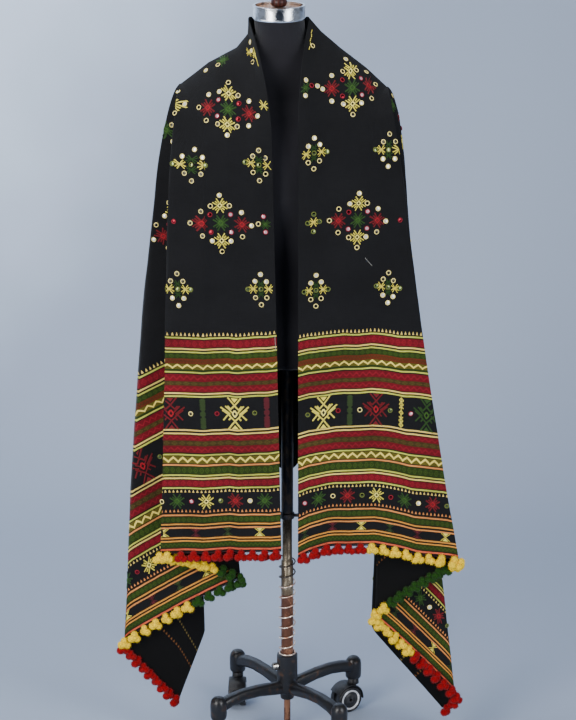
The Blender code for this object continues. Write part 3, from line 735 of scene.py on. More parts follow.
def yarn_look(name, colour):
    """Embroidery yarn: satin stitches that lie across each bar."""
    look, tree, shader = new_look(f"embroidery {name}", Roughness=0.7,
                                  Specular_IOR_Level=0.3, Sheen_Weight=0.04)
    lay = put(tree, "ShaderNodeUVMap", uv_map="stitch").outputs[0]
    turn = calc(tree, "MULTIPLY", split(tree, lay)[0], 2 * math.pi / STRAND)
    strand = calc(tree, "MULTIPLY_ADD", calc(tree, "SINE", turn), 0.5, 0.5)
    level = calc(tree, "MULTIPLY_ADD", fuzz(tree, object_place(tree), 260), 0.7, 0.7)
    # Painted shade: each strand is lighter on its crown and darker in the grooves between strands.
    level = calc(tree, "MULTIPLY", level, calc(tree, "MULTIPLY_ADD", strand, 0.25, 0.85))
    feed(tree, shader, tint(tree, colour, level), height=strand, depth=0.0003)
    return look


def tuft_look(name, colour):
    """Fluffy cut yarn."""
    look, tree, shader = new_look(f"pompom {name}", Roughness=0.95, Specular_IOR_Level=0.12,
                                  Sheen_Weight=0.08, Sheen_Roughness=0.5)
    grain = fuzz(tree, object_place(tree), 420)
    # The tone is uneven at random and darkest where the same noise sinks the bump, partly a
    # painted shade in the fluff's hollows.
    level = spread(tree, grain, 0.3, 0.72, 0.45, 1.35)
    feed(tree, shader, tint(tree, colour, level), height=grain, depth=0.0016)
    return look


def mirror_look(name, colour):
    """A small disc of tinned glass, a little uneven, its colour a painted reflection, bright or
    dark.
    """
    # The bright copies are less metallic, so their pale colour shows as a painted highlight.
    look, tree, shader = new_look(f"mirror {name}",
                                  Metallic=0.35 if name in ("clear", "pink") else 1.0)
    cloudy = fuzz(tree, object_place(tree), 160, 2.0)
    feed(tree, shader, mix(tree, cloudy, tuple(c * 0.6 for c in colour), colour),
         spread(tree, cloudy, 0.3, 0.7, 0.08, 0.28), cloudy, 0.0004)
    return look


def jersey_look():
    """The dark knitted cover of the form, with its fine ribs."""
    look, tree, shader = new_look("form jersey", Roughness=0.88, Specular_IOR_Level=0.25,
                                  Sheen_Weight=0.2, Sheen_Roughness=0.4)
    where = object_place(tree)
    part = split(tree, where)
    turn = calc(tree, "ARCTAN2", part[1], part[0])
    rib = calc(tree, "SINE", calc(tree, "MULTIPLY", turn, JERSEY_RIBS))
    row = calc(tree, "SINE", calc(tree, "MULTIPLY", part[2], 2 * math.pi / JERSEY_ROW))
    knit = calc(tree, "MULTIPLY_ADD", calc(tree, "MULTIPLY", rib, row), 0.5, 0.5)
    tone = mix(tree, fuzz(tree, where, 14, 4.0), srgb(20, 20, 24), srgb(34, 33, 39))
    feed(tree, shader, tone, height=knit, depth=0.0003)
    return look


def metal_look(name, base, other, roughness, worn, size, stretch=1.0, metal=1.0,
               other_metal=1.0):
    """Metal or paint whose finish has patches of another."""
    look, tree, shader = new_look(name)
    place = put(tree, "ShaderNodeVectorMath", {0: object_place(tree), 1: (1, 1, stretch)},
                operation="MULTIPLY").outputs[0]
    patches = use_group(tree, wear_group(), {"Vector": place, "Size": size, "Worn": worn})
    mask = patches["Mask"]
    level = spread(tree, fuzz(tree, place, 90, 4.0), 0.25, 0.75, 0.7, 1.25)
    colour = tint(tree, mix(tree, mask, base, other), level)
    rough = calc(tree, "MULTIPLY_ADD", mask, roughness[1] - roughness[0], roughness[0])
    gleam = calc(tree, "MULTIPLY_ADD", mask, other_metal - metal, metal)
    feed(tree, shader, colour, rough, patches["Height"], 0.0002, gleam)
    return look


def wood_look(name, light, dark, roughness):
    """Turned wood with fine growth rings."""
    look, tree, shader = new_look(name, Specular_IOR_Level=0.4)
    where = object_place(tree)
    rings = put(tree, "ShaderNodeTexWave", {"Vector": where, "Scale": 45.0, "Distortion": 3.5,
                                            "Detail": 3.0, "Detail Scale": 2.0},
                wave_type="BANDS", bands_direction="X").outputs[1]
    pores = fuzz(tree, where, 500, 3.0, (1, 0.15, 1))
    grain = calc(tree, "MULTIPLY_ADD", pores, 0.4, calc(tree, "MULTIPLY", rings, 0.7))
    feed(tree, shader, mix(tree, grain, dark, light),
         spread(tree, pores, 0.2, 0.8, roughness, roughness + 0.15), grain, 0.0003)
    return look


def plastic_look(name, colour, roughness):
    """Moulded plastic with a fine grain and dusty scuffs."""
    look, tree, shader = new_look(name, Specular_IOR_Level=0.45)
    scuffs = use_group(tree, wear_group(),
                       {"Vector": object_place(tree), "Size": 0.02, "Worn": 0.32})
    dusty = tuple(c * 2.2 + 0.02 for c in colour)
    feed(tree, shader, mix(tree, scuffs["Mask"], colour, dusty),
         calc(tree, "MULTIPLY_ADD", scuffs["Mask"], 0.25, roughness), scuffs["Height"], 0.0001)
    return look


# Geometry Nodes


POINT_DATA = [("facing", "FLOAT_VECTOR"), ("spin", "FLOAT"), ("size", "FLOAT")]


def scatter_tree():
    """Puts a shape on every point, by the point's own facing, spin and size."""
    name = "Place on points"
    if name in bpy.data.node_groups:
        return bpy.data.node_groups[name]
    tree = bpy.data.node_groups.new(name, "GeometryNodeTree")
    for socket, kind in (("Points", "NodeSocketGeometry"), ("Shape", "NodeSocketObject"),
                         ("Material", "NodeSocketMaterial")):
        tree.interface.new_socket(name=socket, in_out="INPUT", socket_type=kind)
    tree.interface.new_socket(name="Pieces", in_out="OUTPUT", socket_type="NodeSocketGeometry")
    given = tree.nodes.new("NodeGroupInput").outputs
    out = tree.nodes.new("NodeGroupOutput")
    shape = put(tree, "GeometryNodeObjectInfo", {"Object": given["Shape"]})
    aim, spin, size = (put(tree, "GeometryNodeInputNamedAttribute", {"Name": attribute},
                           data_type=kind).outputs[0] for attribute, kind in POINT_DATA)
    turned = put(tree, "FunctionNodeAxisAngleToRotation", {"Axis": (0, 0, 1), "Angle": spin})
    aligned = put(tree, "FunctionNodeAlignRotationToVector",
                  {"Rotation": turned.outputs[0], "Vector": aim}, axis="Z")
    placed = put(tree, "GeometryNodeInstanceOnPoints",
                 {"Points": given["Points"], "Instance": shape.outputs["Geometry"],
                  "Rotation": aligned.outputs[0], "Scale": size})
    real = put(tree, "GeometryNodeRealizeInstances", {0: placed.outputs[0]})
    dressed = put(tree, "GeometryNodeSetMaterial",
                  {"Geometry": real.outputs[0], "Material": given["Material"]})
    tree.links.new(dressed.outputs[0], out.inputs[0])
    return tree


def scatter(points, shape, look):
    """One plain mesh of a shape put on points: (place, facing, spin, size) rows."""
    cloud = bpy.data.meshes.new("points")
    cloud.from_pydata([tuple(row[0]) for row in points], [], [])
    for column, (name, kind) in enumerate(POINT_DATA, 1):
        values = cloud.attributes.new(name, kind, "POINT")
        if kind == "FLOAT":
            values.data.foreach_set("value", [row[column] for row in points])
        else:
            values.data.foreach_set("vector", [c for row in points for c in row[column]])
    source, holder = new_object("source", shape), new_object("holder", cloud)
    modifier = holder.modifiers.new("place", "NODES")
    modifier.node_group = scatter_tree()
    named = {item.name: item.identifier for item in modifier.node_group.interface.items_tree
             if item.in_out == "INPUT"}
    modifier[named["Shape"]] = source
    modifier[named["Material"]] = look
    graph = bpy.context.evaluated_depsgraph_get()
    mesh = bpy.data.meshes.new_from_object(holder.evaluated_get(graph), depsgraph=graph)
    for thing in (source, holder):
        bpy.data.objects.remove(thing, do_unlink=True)
    return mesh


def join_meshes(name, meshes):
    """One mesh of several, with one material slot for each."""
    shape = bmesh.new()
    for number, mesh in enumerate(meshes):
        start = len(shape.faces)
        shape.from_mesh(mesh)
        shape.faces.ensure_lookup_table()
        for face in shape.faces[start:]:
            face.material_index = number
    return to_mesh(name, shape)


# The shawl


def cloth_mesh(columns, rows, thickness):
    """The creased cloth as a closed thin shell, with its flat place as its UV map."""
    sheet = bmesh.new()
    flat = {}
    places = {}
    grid = []
    corner = WIDTH + HALF_LENGTH
    for half in (LEFT, RIGHT):
        ridge = [row[1] for row in half.ridge] + [corner - row[0] for row in half.ridge]
        step = corner / columns
        lengths = sorted({round(k * step, 6) for k in range(columns + 1)} | set(ridge))
        lengths = [n for k, n in enumerate(lengths)
                   if n in ridge or all(abs(n - r) > step * 0.3 for r in ridge)]
        threads = []
        for length in lengths:
            s, t = half.end(length)[:2]
            top_s, top_t = half.top(s, t)[:2]
            threads.append([(half.side * lerp(top_s, s, share), lerp(top_t, t, share))
                            for share in ((k / rows) ** 1.6 for k in range(rows + 1))])
        grid += threads if half is LEFT else threads[-2::-1]
    made = []
    for thread in grid:
        column = []
        for u, t in thread:
            key = (round(abs(u), 5) * (1 if abs(u) < 1e-5 else math.copysign(1, u)), round(t, 5))
            if key not in places:
                places[key] = sheet.verts.new(draped(u, t))
                flat[places[key]] = thread_to_flat(u, t)
            column.append(places[key])
        made.append(column)
    for low, high in zip(made, made[1:]):
        for k in range(rows):
            corners = [low[k], high[k], high[k + 1], low[k + 1]]
            corners = [v for i, v in enumerate(corners) if v != corners[i - 1]]
            if len(corners) > 2:
                sheet.faces.new(corners)
    sheet.normal_update()
    solid = bmesh.new()
    layer = solid.loops.layers.uv.new("flat cloth")
    sides = {}
    for vert in sheet.verts:
        offset = vert.normal * thickness / 2
        pair = (solid.verts.new(vert.co + offset), solid.verts.new(vert.co - offset))
        sides[vert] = pair
        flat[pair[0]] = flat[pair[1]] = flat[vert]
    rim = {}
    for face in sheet.faces:
        solid.faces.new([sides[v][0] for v in face.verts])
        back = solid.faces.new([sides[v][1] for v in reversed(face.verts)])
        back.material_index = 1
        for a, b in zip(face.verts, [*face.verts[1:], face.verts[0]]):
            if rim.pop((b, a), None) is None:
                rim[(a, b)] = face
    for a, b in rim:
        solid.faces.new([sides[b][0], sides[a][0], sides[a][1], sides[b][1]])
    for face in solid.faces:
        for loop in face.loops:
            loop[layer].uv = flat[loop.vert]
    sheet.free()
    return to_mesh("shawl", solid)


def shift(home, x, y):
    """The flat place a few millimetres from another."""
    u, v = home
    return u - half_at(u).side * y / 1000, v + x / 1000


# How near the cloth's edges a stitch may lie, at the neck edge and elsewhere
NECK_MARGIN = 0.001
MARGIN = 0.002


class Stitcher:
    """Lays charted stitches on the cloth: each a bar or a patch with a soft crown."""

    def __init__(self, lift, edge):
        self.shape = bmesh.new()
        self.layer = self.shape.loops.layers.uv.new("stitch")
        self.lift = lift
        self.edge = edge
        self.names = []

    def colour(self, name):
        if name not in self.names:
            self.names.append(name)
        return self.names.index(name)

    def inside(self, points):
        return all(NECK_MARGIN < v < WIDTH - MARGIN and abs(u) < HALF_LENGTH - MARGIN
                   for u, v in points)

    def bar(self, home, x0, y0, x1, y1, width, name, back=False):
        """A satin-stitched bar between two points of a motif."""
        run = Vector((x1 - x0, y1 - y0))
        across = Vector((-run.y, run.x)).normalized() * width / 2
        rows = []
        for share in (0.0, 0.5, 1.0):
            mid = Vector((x0, y0)) + run * share
            rows.append([shift(home, *(mid + across * k)) for k in (-1, 0, 1)])
        if not self.inside([point for row in rows for point in row]):
            return
        made = []
        for row in rows:
            made.append([self.shape.verts.new(on_cloth(u, v, -lift if back else lift))
                         for (u, v), lift in zip(row, (self.edge, self.lift, self.edge))])
        index = self.colour(name)
        for k in range(2):
            low, high = made[k], made[k + 1]
            for a, b in ((0, 1), (1, 2), (2, 0)):
                self.face([low[a], low[b], high[b], high[a]], index,
                          [(k, a), (k, b), (k + 1, b), (k + 1, a)], run.length / 2000)
        self.face(made[0][::-1], index)
        self.face(made[2], index)

    def face(self, verts, index, cells=((0, 0),) * 3, step=0.0):
        face = self.shape.faces.new(verts)
        face.material_index = index
        for loop, (row, column) in zip(face.loops, cells):
            loop[self.layer].uv = (row * step, column * 0.001)

    def patch(self, home, corners, name):
        """A filled patch with a raised middle."""
        points = [shift(home, x, y) for x, y in corners]
        if not self.inside(points):
            return
        index = self.colour(name)
        middle = (sum(u for u, _ in points) / len(points), sum(v for _, v in points) / len(points))
        crown = self.shape.verts.new(on_cloth(*middle, self.lift))
        under = self.shape.verts.new(on_cloth(*middle, 0.0))
        rim = [self.shape.verts.new(on_cloth(u, v, self.edge)) for u, v in points]
        for a, b in zip(rim, rim[1:] + rim[:1]):
            self.face([a, b, crown], index, [(0, 0), (1, 0), (0, 1)], 0.004)
            self.face([b, a, under], index)

    def finish(self):
        bmesh.ops.recalc_face_normals(self.shape, faces=self.shape.faces)
        return to_mesh("embroidery", self.shape)


# Charts of bars, x0, y0, x1, y1, in millimetres. A star is one quarter of its chart, mirrored
# to the others, and its ring is brighter. The wide band's star is the right half of its own.
RING = [(0, 4.9, 4.9, 0)]
STAR = [(6.0, 1.3, 15.5, 7.4), (1.3, 6.0, 7.4, 15.5), (4.8, 4.8, 9.6, 9.6)]
SMALL_X = [(0, 0, 5.5, 8.5), (1.5, 0, 8, 4.5)]
WIDE_STAR = [
    (0, 7.2, 5, 0), (0, -7.2, 5, 0), (0, 17.5, 13.6, 33.6), (0, -15.5, 13.6, -33.6),
    (0, 17.5, 8.5, 8.5), (8.5, 8.5, 14.5, 15.5), (6, 2, 19, 15.5), (9.5, -1.5, 29, 13.5),
    (9, -5.5, 25.5, 7), (0, -15.5, 13.5, -3), (13.5, -3, 24, -14.5), (7.5, -8.5, 12.5, -14.5),
]
COLUMN = [(0, 4.4, 4.6, 0), (0, 13.2, 4.6, 8.8), (0, 13.2, 4.6, 17.6), (0, 22, 4.6, 17.6),
          (0, 22, 4.6, 26.4), (0, 30.8, 4.6, 26.4), (0, 0, 0, 32.5)]


OCTAGON = [(math.cos(math.pi * k / 4), math.sin(math.pi * k / 4)) for k in range(8)]
# Widths of a star's bars, and the radius of its filled middle, in millimetres
STAR_BARS = {"yellow": 2.8, "red": 3.4, "green": 3.4}
STAR_FILL = 8.5
WIDE_BARS = 3.6
COLUMN_BARS = {"yellow": 2.4, "maroon": 6.2, "moss": 6.2}


def mirrored(chart, quarters=True):
    """A chart's bars turned to its other sides, each bar once."""
    flips = ((1, 1), (-1, 1), (1, -1), (-1, -1)) if quarters else ((1, 1), (-1, 1))
    found = []
    for x0, y0, x1, y1 in chart:
        for flip_x, flip_y in flips:
            row = (x0 * flip_x, y0 * flip_y, x1 * flip_x, y1 * flip_y)
            if row not in found:
                found.append(row)
    return found


def star(work, home, name, scale=1.0):
    wide = STAR_BARS[name]
    if name != "yellow":
        work.patch(home, [(STAR_FILL * scale * x, STAR_FILL * scale * y) for x, y in OCTAGON],
                   name)
    for chart, shade in ((RING, f"bright {name}"), (STAR, name)):
        for row in mirrored(chart):
            work.bar(home, *(part * scale for part in row), wide * scale, shade)
    if name == "yellow":
        for row in ((-8, -8, 8, 8), (-8, 8, 8, -8)):
            work.bar(home, *row, 1.6, "back", True)


def small_cross(work, home, name, scale=1.0):
    for row in mirrored(SMALL_X):
        work.bar(home, *(part * scale for part in row), 2.0 * scale, name)


def glass(home, name):
    """Which cream and red mirrors take their bright copy, a painted highlight, by their place; the
    rest keep the dark copy, a painted dark reflection.
    """
    lit = math.sin(home[0] * 911 + home[1] * 577) > 0.1
    return {"cream": "clear", "red": "pink"}.get(name, name) if lit else name


def add_mirrors(mirrors, home, spots):
    for x, y, name in spots:
        place = shift(home, x, y)
        mirrors.append((*place, glass(place, name)))


def large_chart(high):
    """Five stars in a cross, with mirrors between and round them."""
    stars = [(0, 0, "green", 0.95), (-40, 0, "red", 0.92), (40, 0, "red", 0.92),
             (0, -high, "yellow", 0.9), (0, high, "yellow", 0.9)]
    mirrors = ([(x, y, "red") for x in (-19.5, 19.5) for y in (-high / 2, high / 2)]
               + [(x, y, "cream") for x in (-18, 18) for y in (-high, high)]
               + [(x, y, "cream") for x in (-40, 40) for y in (-23, 23)]
               + [(0, y, "cream") for y in (-high - 20, high + 20)]
               + [(x, 0, "cream") for x in (-58, 58)])
    return stars, [], [], mirrors


# Each motif's stars (x, y, colour, scale), small crosses (the same), bars and mirrors. The edge
# is what shows of a large one where the left shoulder turns away, the collar is drawn together
# by its roll, and the medium one is a tall diamond of mirrors round its crosses.
MOTIFS = {
    "large": large_chart(33),
    "upper": large_chart(29),
    "edge": ([(0, 0, "yellow", 0.8), (57, -38, "green", 0.9)], [], [],
             [(0, 20, "cream"), (0, -17, "cream"), (-11, 0, "cream"), (30, 11, "red"),
              (30, -21, "red"), (44, -32, "cream"), (52, -60, "cream")]),
    "crest": ([(0, 0, "green", 0.7)], [], [], [(6, -10, "cream"), (33, -23, "cream")]),
    "collar": ([], [(-9, -3, "yellow", 0.8), (9, -3, "yellow", 0.8)],
               [(-12, 10, -17, -22, 2.0, "yellow")],
               [(0, 17, "cream"), (0, 2, "cream"), (1, -18, "cream")]),
    "medium": ([], [(-15, 0, "yellow", 1.0), (15, 0, "yellow", 1.0), (0, -10, "green", 0.85),
                    (0, 10, "green", 0.85)], [],
               [(0, 29, "cream"), (0, -31, "cream"), (0, 0, "green"), (-11, -17, "cream"),
                (-11, 15, "cream"), (11, -17, "cream"), (11, 15, "cream"), (-25.5, 0, "green"),
                (25.5, 0, "green")]),
    "small": ([(0, 0, "green", 0.62)], [], [],
              [(0, 14, "cream"), (0, -14, "cream"), (13, 0, "red"), (26, -3, "cream")]),
    "red": ([(0, 0, "green", 0.62)], [], [],
            [(3, 16, "red"), (0, -15, "red"), (-12, 0, "red"), (13, 0, "cream")]),
    "olive": ([], [(0, 0, "yellow", 1.0)], [],
              [(0, 16, "green"), (0, -18, "green"), (12, 0, "green"), (-12, 0, "green")]),
    "sliver": ([], [(0, 0, "yellow", 1.0)], [], []),
    "mirror": ([], [], [], [(0, 0, "red")]),
}


def lay_motif(work, mirrors, kind, home):
    stars, crosses, bars, spots = MOTIFS[kind]
    for draw, rows in ((star, stars), (small_cross, crosses)):
        for x, y, name, scale in rows:
            draw(work, shift(home, x, y), name, scale)
    for bar in bars:
        work.bar(home, *bar)
    add_mirrors(mirrors, home, spots)


# The figures of each black band from the front edge, with their places in half repeats. The
# widest band's columns, stars and mirrors change colour each at their own pace.
WIDE_BAND = [(2 * n + place, kind, colours[(n * count + turn) % len(colours)])
             for n in range(12)
             for place, kind, colours, count, turn in (
                 (0.0, "column", ("maroon", "moss", "yellow"), 1, 0),
                 (0.38, "mirror", ("green", "red", "cream"), 2, 0),
                 (1.0, "star", ("yellow", "red", "green", "red"), 1, 0),
                 (1.56, "mirror", ("green", "red", "cream"), 2, 1))]
STAR_BAND = [(0.0, "small star", "green"), (0.5, "mirror", "cream"),
             (1.0, "small star", "red"), (1.5, "mirror", "green"),
             (2.0, "small star", "yellow"), (2.5, "mirror", "red")]
GLASS_BAND = [(0.0, "glass", "yellow"), (1.0, "glass", "moss"), (2.0, "glass", "maroon")]
# figures, length of a round of figures, how far from the short end, and on the left and the
# right end the place of the first figure, a half repeat, and how much further on the
# figures lie behind the front fold
LANES = [
    (WIDE_BAND, 24, 0.2968, {-1: (0.023, 0.0655, 0.079), 1: (0.001, 0.0562, 0.0)}),
    (STAR_BAND, 3, 0.1092, {-1: (0.032, 0.0612, 0.108), 1: (-0.142, 0.0633, 0.0756)}),
    (GLASS_BAND, 3, 0.0414, {-1: (0.0445, 0.0673, 0.067), 1: (-0.047, 0.0633, 0.066)}),
]
BEHIND_FOLD = {-1: 0.30, 1: 0.37}


def band_figures(work, mirrors):
    """The stars, columns, hourglasses and mirrors of the black bands of both ends."""
    for figures, turn, up, ends in LANES:
        for side, (start, step, behind) in ends.items():
            for k in range(0, 24, turn):
                for place, kind, name in figures:
                    v = start + (k + place) * step
                    if v > BEHIND_FOLD[side]:
                        v += behind
                    home = (side * (HALF_LENGTH - up), v)
                    if not 0.0 < v < WIDTH - 0.004:
                        continue
                    if kind == "mirror":
                        add_mirrors(mirrors, home, [(0, 0, name)])
                    elif kind == "column":
                        for row in mirrored(COLUMN):
                            work.bar(home, *row, COLUMN_BARS[name], name)
                    elif kind == "glass":
                        hourglass(work, home, name)
                    elif kind == "small star":
                        star(work, home, name)
                    else:
                        wide_star(work, home, name)


def wide_star(work, home, name):
    """The tall star of the widest black band."""
    for number, row in enumerate(mirrored(WIDE_STAR, False)):
        work.bar(home, *row, WIDE_BARS, f"bright {name}" if number < 4 else name)
    for y in (1, -1):
        work.patch(home, [(-8, 33 * y), (8, 33 * y), (0, 23.5 * y)], name)


def hourglass(work, home, name):
    for y in (1, -1):
        work.patch(home, [(-7, 8.6 * y), (7, 8.6 * y), (0, 1.4 * y)], name)
        work.bar(home, -10, -8 * y, 10, 8 * y, 1.7, name)


# The motifs seen from the front: kind, side, s, v
FRONT_MOTIFS = [
    ("upper", -1, 0.297, 0.0816), ("large", -1, 0.5146, 0.0996),
    ("edge", -1, 0.293, 0.181), ("upper", 1, 0.253, 0.1067),
    ("large", 1, 0.508, 0.1222), ("medium", -1, 0.391, 0.0232),
    ("medium", -1, 0.403, 0.149), ("medium", -1, 0.6375, 0.0279),
    ("medium", -1, 0.6394, 0.1903), ("medium", 1, 0.3707, 0.0299),
    ("medium", 1, 0.3704, 0.1770), ("medium", 1, 0.6397, 0.0388),
    ("medium", 1, 0.6375, 0.1910), ("red", -1, 0.509, 0.0155),
    ("mirror", -1, 0.513, 0.186), ("olive", 1, 0.508, 0.032),
    ("mirror", 1, 0.505, 0.2105), ("small", 1, 0.2437, 0.0121),
    ("sliver", -1, 0.2745, 0.0100), ("collar", -1, 0.1819, 0.0259),
    ("crest", -1, 0.2116, 0.1019),
]
# The regular rows behind them: kind, s, first v on the left and on the right, spacing
ROWS = [
    ("large", 0.000, WIDTH, 0.150, 0.170), ("medium", 0.140, 0.190, 0.215, 0.170),
    ("large", 0.287, 0.420, 0.285, 0.170), ("medium", 0.394, 0.375, 0.335, 0.170),
    ("large", 0.508, 0.300, 0.300, 0.170), ("medium", 0.645, 0.362, 0.350, 0.170),
    ("small", 0.000, WIDTH, 0.065, 0.170), ("small", 0.287, 0.335, 0.200, 0.170),
    ("small", 0.508, 0.385, 0.385, 0.170),
]


def field_figures(work, mirrors):
    """The scattered motifs of the black field."""
    for kind, side, s, v in FRONT_MOTIFS:
        lay_motif(work, mirrors, kind, (side * s, v))
    for kind, s, left, right, spacing in ROWS:
        for side, first in ((-1, left), (1, right)):
            v = first
            while v < WIDTH - 0.02:
                lay_motif(work, mirrors, kind, (side * s, v))
                v += spacing
    for k in range(5):
        work.bar((0.157, 0.015), 0, 14 - 7 * k, 1.5 if k % 2 else -1.5, 8.5 - 7 * k, 2.2,
                 "yellow")
    add_mirrors(mirrors, (0.172, 0.0225), [(0, 0, "cream")])
    work.bar((0.5819, 0.140), 0, 0, 15.6, -16.1, 0.9, "loose")
    work.bar((-0.735, 0.003), 0, 0, -1, -30, 0.9, "loose")


def skin(shape, rings, closed=False):
    """Skins rings of equal count, and closes the ends or joins the last to the first."""
    for low, high in zip(rings, rings[1:] + rings[:1] if closed else rings[1:]):
        for k in range(len(low)):
            n = (k + 1) % len(low)
            shape.faces.new((low[k], low[n], high[n], high[k]))
    if not closed:
        shape.faces.new(list(reversed(rings[0])))
        shape.faces.new(rings[-1])
    bmesh.ops.recalc_face_normals(shape, faces=shape.faces)
    return shape


def lathe(profile, count=48, axis=None, closed=False):
    """A round shape from (radius, height) rows."""
    shape = bmesh.new()
    skin(shape, [[shape.verts.new((r * math.cos(a), r * math.sin(a), h)) for a in angles(count)]
                 for r, h in profile], closed)
    if axis:
        shape.transform(axis)
    return shape


def ring_shape(radius, wire, stitches=10):
    """A ring of buttonhole stitches round a disc, thick and thin by turns."""
    shape = bmesh.new()
    rings = []
    for k, turn in enumerate(angles(stitches * 2)):
        out = Vector((math.cos(turn), math.sin(turn), 0))
        thick = wire * (1.12 if k % 2 else 0.82)
        rings.append([shape.verts.new(out * (radius + thick * math.cos(a))
                                      + Vector((0, 0, thick * math.sin(a) + wire * 0.4)))
                      for a in angles(4)])
    return skin(shape, rings, True)


# A pompom's three lobes and the core that joins them: middle, radius
LOBES = [(Vector((0, 0, 0.0052)), 0.0058), (Vector((-0.0052, 0, -0.0032)), 0.0066),
         (Vector((0.0052, 0.0008, -0.0036)), 0.0064), (Vector((0, -0.001, -0.001)), 0.0060)]
# Loose strands on each lobe, their width and length, and the turns that place them
STRANDS = 46
STRAND_WIDE = 0.00075
STRAND_LONG = 0.0046
GOLDEN_TURN = 2.39996
THIRD_TURN = 2.0944


def tuft_shape(seed):
    """One pompom, three lobes of cut yarn with strands that stand out."""
    shape = bmesh.new()
    for number, (middle, radius) in enumerate(LOBES):
        made = bmesh.ops.create_icosphere(shape, subdivisions=3, radius=radius)["verts"]
        for vert in made:
            out = vert.co.normalized()
            rough = noise.noise(out * 3.1 + Vector((seed, number, 0)))
            fine = noise.noise(out * 9.0 + Vector((number, seed, 4)))
            vert.co = vert.co * (1 + 0.16 * rough + 0.16 * fine) + middle
    strands = []
    for number, (middle, radius) in enumerate(LOBES[:3]):
        for k in range(STRANDS):
            z = 1 - 2 * (k + 0.5) / STRANDS
            turn = k * GOLDEN_TURN + number + seed
            out = Vector((math.sqrt(1 - z * z) * math.cos(turn),
                          math.sqrt(1 - z * z) * math.sin(turn), z))
            bend = wander(out * 4 + Vector((seed, 2, number))) * 0.35
            strands.append((middle + out * radius * 0.7, (out + bend).normalized()))
    for root, aim in strands:
        side = aim.orthogonal().normalized() * STRAND_WIDE
        ring = [shape.verts.new(root + Matrix.Rotation(THIRD_TURN * k, 3, aim) @ side)
                for k in range(3)]
        tip = shape.verts.new(root + aim * STRAND_LONG)
        for a, b in zip(ring, ring[1:] + ring[:1]):
            shape.faces.new((a, b, tip))
        shape.faces.new(list(reversed(ring)))
    return to_mesh("tuft", shape)


def pompom_points(half):
    """Where each pompom hangs under the hem, in order from the front edge."""
    pitch = WIDTH / POMPOM_COUNT
    bends = [half.folds[row][1] for row in FOLD_ROWS[half.side]]
    found = []
    for k in range(POMPOM_COUNT):
        length = (k + 0.5) * pitch
        near = any(-pitch / 2 < bend - length < FOLD_NEAR for bend in bends)
        place = half.place(length, below=POMPOM_DROP)
        place.y -= POMPOM_PUSH if near else POMPOM_LEAN
        for bend, outward in zip(bends, (half.side, -half.side, half.side)):
            if abs(bend - length) < BEND_NEAR:
                place.x += outward * BEND_PUSH
        wobble = noise.noise(Vector((k * 1.7, half.side * 3.0, 0.4)))
        tilt = Vector((wobble * 0.5, noise.noise(Vector((k * 2.3, 1, half.side))) * 0.4, 1))
        size = POMPOM_SIZE + POMPOM_VARIES * wobble
        found.append((place, tilt.normalized(), wobble * 2.0, size, length))
    return found


def cord_shape(points, radius, sides=5):
    """A thin round cord along points."""
    shape = bmesh.new()
    rings = []
    for k, point in enumerate(points):
        ahead = points[min(k + 1, len(points) - 1)] - points[max(k - 1, 0)]
        ahead.normalize()
        side = ahead.cross(Vector((0.1, 0.2, 1.0))).normalized()
        other = ahead.cross(side).normalized()
        rings.append([shape.verts.new(point + (side * math.cos(a) + other * math.sin(a)) * radius)
                      for a in angles(sides)])
    return skin(shape, rings)


# The form and the stand


def soften(profile, turns=3, share=0.3):
    """A profile with its corners rounded."""
    found = [profile[0]]
    for before, here, after in zip(profile, profile[1:], profile[2:]):
        a, b, c = Vector(before), Vector(here), Vector(after)
        start, stop = b.lerp(a, share), b.lerp(c, share)
        for k in range(turns + 1):
            q = k / turns
            found.append(tuple(start.lerp(b, q).lerp(b.lerp(stop, q), q)))
    found.append(profile[-1])
    return found


# height, half width, depth in front, depth behind
TORSO = [
    (0.830, 0.160, 0.092, 0.092), (0.836, 0.167, 0.098, 0.098), (0.900, 0.165, 0.096, 0.100),
    (0.960, 0.150, 0.086, 0.092), (1.030, 0.134, 0.080, 0.082), (1.110, 0.150, 0.092, 0.086),
    (1.180, 0.166, 0.106, 0.090), (1.250, 0.176, 0.100, 0.092), (1.310, 0.188, 0.088, 0.088),
    (1.350, 0.196, 0.074, 0.080), (1.378, 0.200, 0.056, 0.062), (1.402, 0.184, 0.050, 0.055),
    (1.430, 0.156, 0.048, 0.053), (1.449, 0.124, 0.046, 0.052), (1.462, 0.0945, 0.046, 0.052),
    (1.482, 0.060, 0.049, 0.054), (1.500, 0.052, 0.050, 0.053), (1.5282, 0.051, 0.051, 0.051),
]
# How far the cover lies inside the solid, its seam and the spacing of its rings
SKIN_DRAW = 0.0014
SEAM_DEPTH = 0.0012
SEAM_WIDE = 0.002
COVER_STEP = 0.008


def torso_mesh(sides=96):
    """The form's stretched cover, with a shallow seam down its middle front and back."""
    shape = bmesh.new()
    rings = []
    heights = []
    for low, high in zip(TORSO, TORSO[1:]):
        steps = max(int((high[0] - low[0]) / COVER_STEP), 1)
        heights += [lerp(low[0], high[0], k / steps) for k in range(steps)]
    heights.append(TORSO[-1][0])
    for z in heights:
        half, front, back = (between(TORSO, 0, z, column) - SKIN_DRAW for column in (1, 2, 3))
        ring = []
        for k in range(sides):
            turn = 2 * math.pi * (k + 0.5) / sides
            deep = back if math.sin(turn) > 0 else front
            x, y = half * math.cos(turn), deep * math.sin(turn)
            seam = SEAM_DEPTH * math.exp(-(x / SEAM_WIDE) ** 2)
            y -= math.copysign(seam, y)
            ring.append(shape.verts.new((x + lean(z), y, z)))
        rings.append(ring)
    skin(shape, rings)
    return to_mesh("form_cover", shape)


SPRING_RADIUS = 0.0166
SPRING_WIRE = 0.0016
SPRING_TURNS = 10.5
SPRING_TOP = 0.3940
# How far down from its top the coil is given the darker wire
DARK_TOP_LENGTH = 0.0500
PIPE_STEEL = 0.3300
